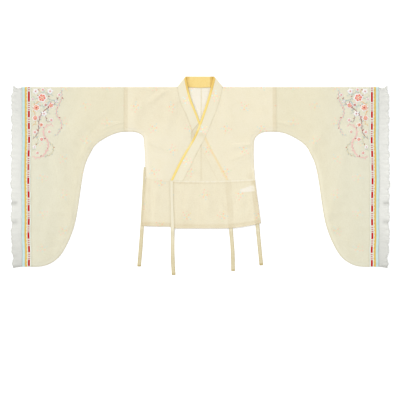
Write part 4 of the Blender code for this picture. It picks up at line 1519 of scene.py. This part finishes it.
def petal_grid(x, drop, length, width, turn, rise):
    """Many petals at once: each is as wide as the sine of its length's share to the power 0.8, and
    domed across by one minus the square. Returns x, drop, lift and the place in each petal, all as
    (petal, along, across)."""
    share = np.linspace(0.02, 0.98, 9)[None, :, None]
    aside = np.linspace(-1, 1, 7)[None, None, :]
    columns = (np.asarray(column, float)[:, None, None] for column in (x, drop, length, width, turn))
    x, drop, length, width, turn = columns
    half = width / 2 * np.sin(np.pi * share**0.8)
    forward, sideways = length * share, half * aside
    out_x = x + forward * np.cos(turn) - sideways * np.sin(turn)
    out_drop = drop - forward * np.sin(turn) - sideways * np.cos(turn)
    lift = rise * (1 - aside**2) * np.sin(np.pi * share) + 0 * half
    return out_x, out_drop, lift, (sideways + 0 * forward, forward + 0 * sideways)


def stem_line(points, count=None):
    """Points along a stem at even steps, and the way it runs there."""
    line = even_steps(line_through(np.reshape(points, (-1, 2))), count)
    return line, unit(np.gradient(line, axis=0))


def stem_leaves(tint, length, points):
    """Leaves on both sides of a stem in turn, and a bud at every sixth one."""
    line, run = stem_line(points)
    rows = []
    for number, at in enumerate(range(length // 2, len(line) - 4, length * 3 // 4)):
        aside = 1 if number % 2 else -1
        away = aside * np.radians(LEAF_TURN + 9 * np.sin(number * 2.3))
        angle = np.arctan2(-run[at, 1], run[at, 0]) + away
        size = length * (0.86 + 0.2 * np.sin(number * 1.7))
        bud = number % 6 == 4
        rows.append((*line[at], size, size * LEAF_SHAPE, angle, 0.6, "wine" if bud else tint))
    return rows


def ring(x, drop, radius, petals, turn, rise, tint):
    """A ring of petals round a blossom's middle, each over a wider pale one that outlines it."""
    rows = []
    for wide, up, name in ((1.0, rise, "white"), (0.8, rise + 0.35, tint)):
        for angle in turn + 2 * np.pi * np.arange(petals) / petals:
            start = radius * 0.16
            place = x + start * np.cos(angle), drop - start * np.sin(angle)
            rows.append((*place, radius * 0.9 * wide, radius * 0.86 * wide, angle, up, name))
    return rows


def embroider(name, side, x, drop, lift, place, tint):
    """Satin stitch on the sleeve's front: thin pieces that lie a little above it."""
    z = front_z(side, x, drop) + FLOSS_CLEAR + lift
    points = world(x + sway(x, drop), drop, z)
    thicken(surface(name, points, place, "floss", floss=tint))


def embroidery(side):
    """The spray's petals, leaves and hearts as domed satin stitch, on the sleeve's front. Each petal
    pales towards its tip."""
    rows = []
    for _, _, leaf, length, points in STEMS:
        rows += stem_leaves(leaf, length, points)
    for x, drop, radius, petals, turn, outer, inner, heart in BLOSSOMS:
        turn = np.radians(turn)
        rows += ring(x, drop, radius, petals, turn, 0.7, outer)
        rows += ring(x, drop, radius * 0.5, petals, turn + np.pi / petals, 1.2, inner)
        rows.append((x - radius * 0.16, drop, radius * 0.32, radius * 0.32, 0.0, 2.0, heart))
    x, drop, length, width, turn, rise, tints = zip(*rows)
    rise = np.array(rise)[:, None, None]
    x, drop, lift, place = petal_grid(x, drop, length, width, turn, rise)
    x = x * side
    tip = PALE_TIP * np.linspace(0, 1, lift.shape[1])[None, :, None, None] + 0 * lift[..., None]
    tint = np.array([FLOSS[name] for name in tints])[:, None, None, :]
    tint = blend(tint, np.array(FLOSS["white"]), tip)
    embroider(f"embroidery_{NAMES[side]}", side, x, drop, lift, place, tint)


def embroidery_stems(side):
    """The spray's stems: half-round cords along curves through their points."""
    aside = np.linspace(-1, 1, 5)
    taper = (0.35 + 0.65 * np.sin(np.pi * np.linspace(0.02, 0.98, STEM_STEPS)))[:, None]
    grids = []
    for width, tint, _, _, points in STEMS:
        line, run = stem_line(points, STEM_STEPS)
        x = line[:, :1] - run[:, 1:] * aside * width * taper / 2
        drop = line[:, 1:] + run[:, :1] * aside * width * taper / 2
        lift = 0.5 * (1 - aside**2) * taper
        along = np.linspace(0, 300, STEM_STEPS)[:, None] + 0 * x
        grids.append((x, drop, lift, 0 * x + aside, along, np.array(FLOSS[tint]) + 0 * x[..., None]))
    x, drop, lift, *place, tint = (np.stack(part) for part in zip(*grids))
    embroider(f"embroidery_stems_{NAMES[side]}", side, x * side, drop, lift, place, tint)


# The underarm's rolled seam: its half breadth and how flat it is, how far inside the outline it runs,
# and its middle's height
ROLLED_SEAM_SIZE = (1.5, 0.7)
ROLLED_SEAM_INSET = 1.4
ROLLED_SEAM_Z = 1.35


def rolled_seam(side):
    """The rolled seam along the side, the underarm and the sleeve's lower edge."""
    low = LEFT_SEAM_END if side > 0 else WAIST_SIDE[side] - 3
    down = np.linspace(low, ARCH_END[side] + 6, 20)
    start = np.stack([side_x(side, down), down], axis=1)
    path = np.concatenate([start, arch(side)[::-1], sleeve_edge(160)[1:]])
    run = unit(np.gradient(path, axis=0))
    x = (path[:, 0] + run[:, 1] * ROLLED_SEAM_INSET) * side
    drop = path[:, 1] - run[:, 0] * ROLLED_SEAM_INSET
    path = x + sway(x, drop), drop, ROLLED_SEAM_Z
    tube(f"rolled_seam_{NAMES[side]}", path, ROLLED_SEAM_SIZE, "sleeve_gauze")


def make_garment():
    """Every piece of the top, with what is sewn on it."""
    for side in (1, -1):
        body(side)
        overlap(side)
        sleeve(side)
        for kind, reach, crown in CUFF_BANDS:
            cuff_band(kind, side, reach, crown)
        frill(side)
        frill_hem(side)
        lace(side)
        peplum_front(side)
        embroidery(side)
        embroidery_stems(side)
        rolled_seam(side)
    collar()
    edging(1)
    edging(-1)
    facing()
    peplum_back()
    leaves = HEM_MIDDLE[1] + TIE_CLEAR
    tie("tie_right_side", TIE_RIGHT_SIDE, 0, HEM_MIDDLE[-1], loose=0.33)
    tie("tie_left_front", TIE_LEFT_FRONT, ON_TOP, leaves, -0.25, 0.06)
    tie("tie_right_front", TIE_RIGHT_FRONT, BETWEEN, leaves)
    tie("tie_left_side", TIE_LEFT_SIDE, BETWEEN, leaves)
    side_tag()


def make_sewing():
    """Small running stitches: beside the gold edging, along the collar's seam, and on the hems."""
    lines = {"gold_thread": [], "thread": []}
    for side in (1, -1):
        share = np.array([1 - EDGING_SHARE + 0.02, 0.05])
        x, drop, z = collar_front(side, share, 200)
        lines["gold_thread"].append((x[4:-4, 0], drop[4:-4, 0], z[4:-4, 0] + HAIR + SHELL - 0.2))
        lines["thread"].append((x[4:-4, 1], drop[4:-4, 1], z[4:-4, 1]))
        first, last = PEPLUM_EDGE_HEM[side], PEPLUM_HEM_SIDE[side] * side
        x = np.linspace(first, last, 200)
        drop = hem(side, x, HEM_MIDDLE[side]) - HEM_DEPTH
        lines["thread"].append((x, drop, front_z(side, x, drop)))
        drop = np.linspace(4, CUFF_DROP - 4, 300)
        for at, up in ((RIBBON[0] + 1.2, 0.05), (BINDING[0] + 1.2, 0.1)):
            x = np.full(300, at * side)
            lines["thread"].append((x + sway(x, drop), drop, front_z(side, x, drop) + up))
    stitches("collar_edge_stitching", lines["gold_thread"], 1.4, 0.28, "gold_thread")
    stitches("seam_stitching", lines["thread"], 1.6, 0.26, "thread")


# The studio, in metres and degrees: half the floor's width and how far below the cloth it lies, then
# the lamp's height above level, the way it comes from and how broad it looks
FLOOR_REACH = 30.0
FLOOR_BELOW = 0.0004
LAMP_HEIGHT = 34.0
LAMP_FROM = 218.0
LAMP_BREADTH = 24.0

# How far the camera sees, in metres, and how many sheer layers
CAMERA_REACH = 100.0
SEE_THROUGH_LAYERS = 40


def make_studio():
    """A pale floor, light from all round, a large soft lamp at the upper left and the camera."""
    mesh = bpy.data.meshes.new("studio_floor")
    signs = (-1, -1), (1, -1), (1, 1), (-1, 1)
    corners = [(x * FLOOR_REACH, y * FLOOR_REACH, -FLOOR_BELOW) for x, y in signs]
    mesh.from_pydata(corners, [], [(0, 1, 2, 3)])
    floor = show("studio_floor", mesh)
    paint = Recipe("floor_paint", 0.9)
    paint.set("Base Color", (0.96, 0.96, 0.96, 1))
    paint.set("Specular IOR Level", 0.0)
    mesh.materials.append(paint.made)

    sky = bpy.data.worlds.new("studio_light")
    sky.use_nodes = True
    background = sky.node_tree.nodes["Background"].inputs
    background["Color"].default_value = (1, 1, 1, 1)
    background["Strength"].default_value = AROUND
    bpy.context.scene.world = sky

    light = bpy.data.lights.new("studio_lamp", "SUN")
    light.energy = LAMP * np.pi / np.sin(np.radians(LAMP_HEIGHT))
    light.angle = np.radians(LAMP_BREADTH)
    lamp = show("studio_lamp", light)
    lamp.rotation_euler = np.radians([90 - LAMP_HEIGHT, 0, LAMP_FROM])

    view = bpy.data.cameras.new("camera")
    view.lens = LENS
    view.sensor_width = SENSOR
    view.clip_end = CAMERA_REACH
    camera = show("camera", view)
    middle = PICTURE_MIDDLE_X * MM, (SHOULDER - PICTURE_MIDDLE_DROP) * MM
    camera.location = (*middle, PICTURE_WIDTH * LENS / SENSOR)
    bpy.context.scene.camera = camera
    bpy.context.scene.view_settings.view_transform = "Standard"
    bpy.context.scene.cycles.transparent_max_bounces = SEE_THROUGH_LAYERS


make_studio()
make_garment()
make_sewing()
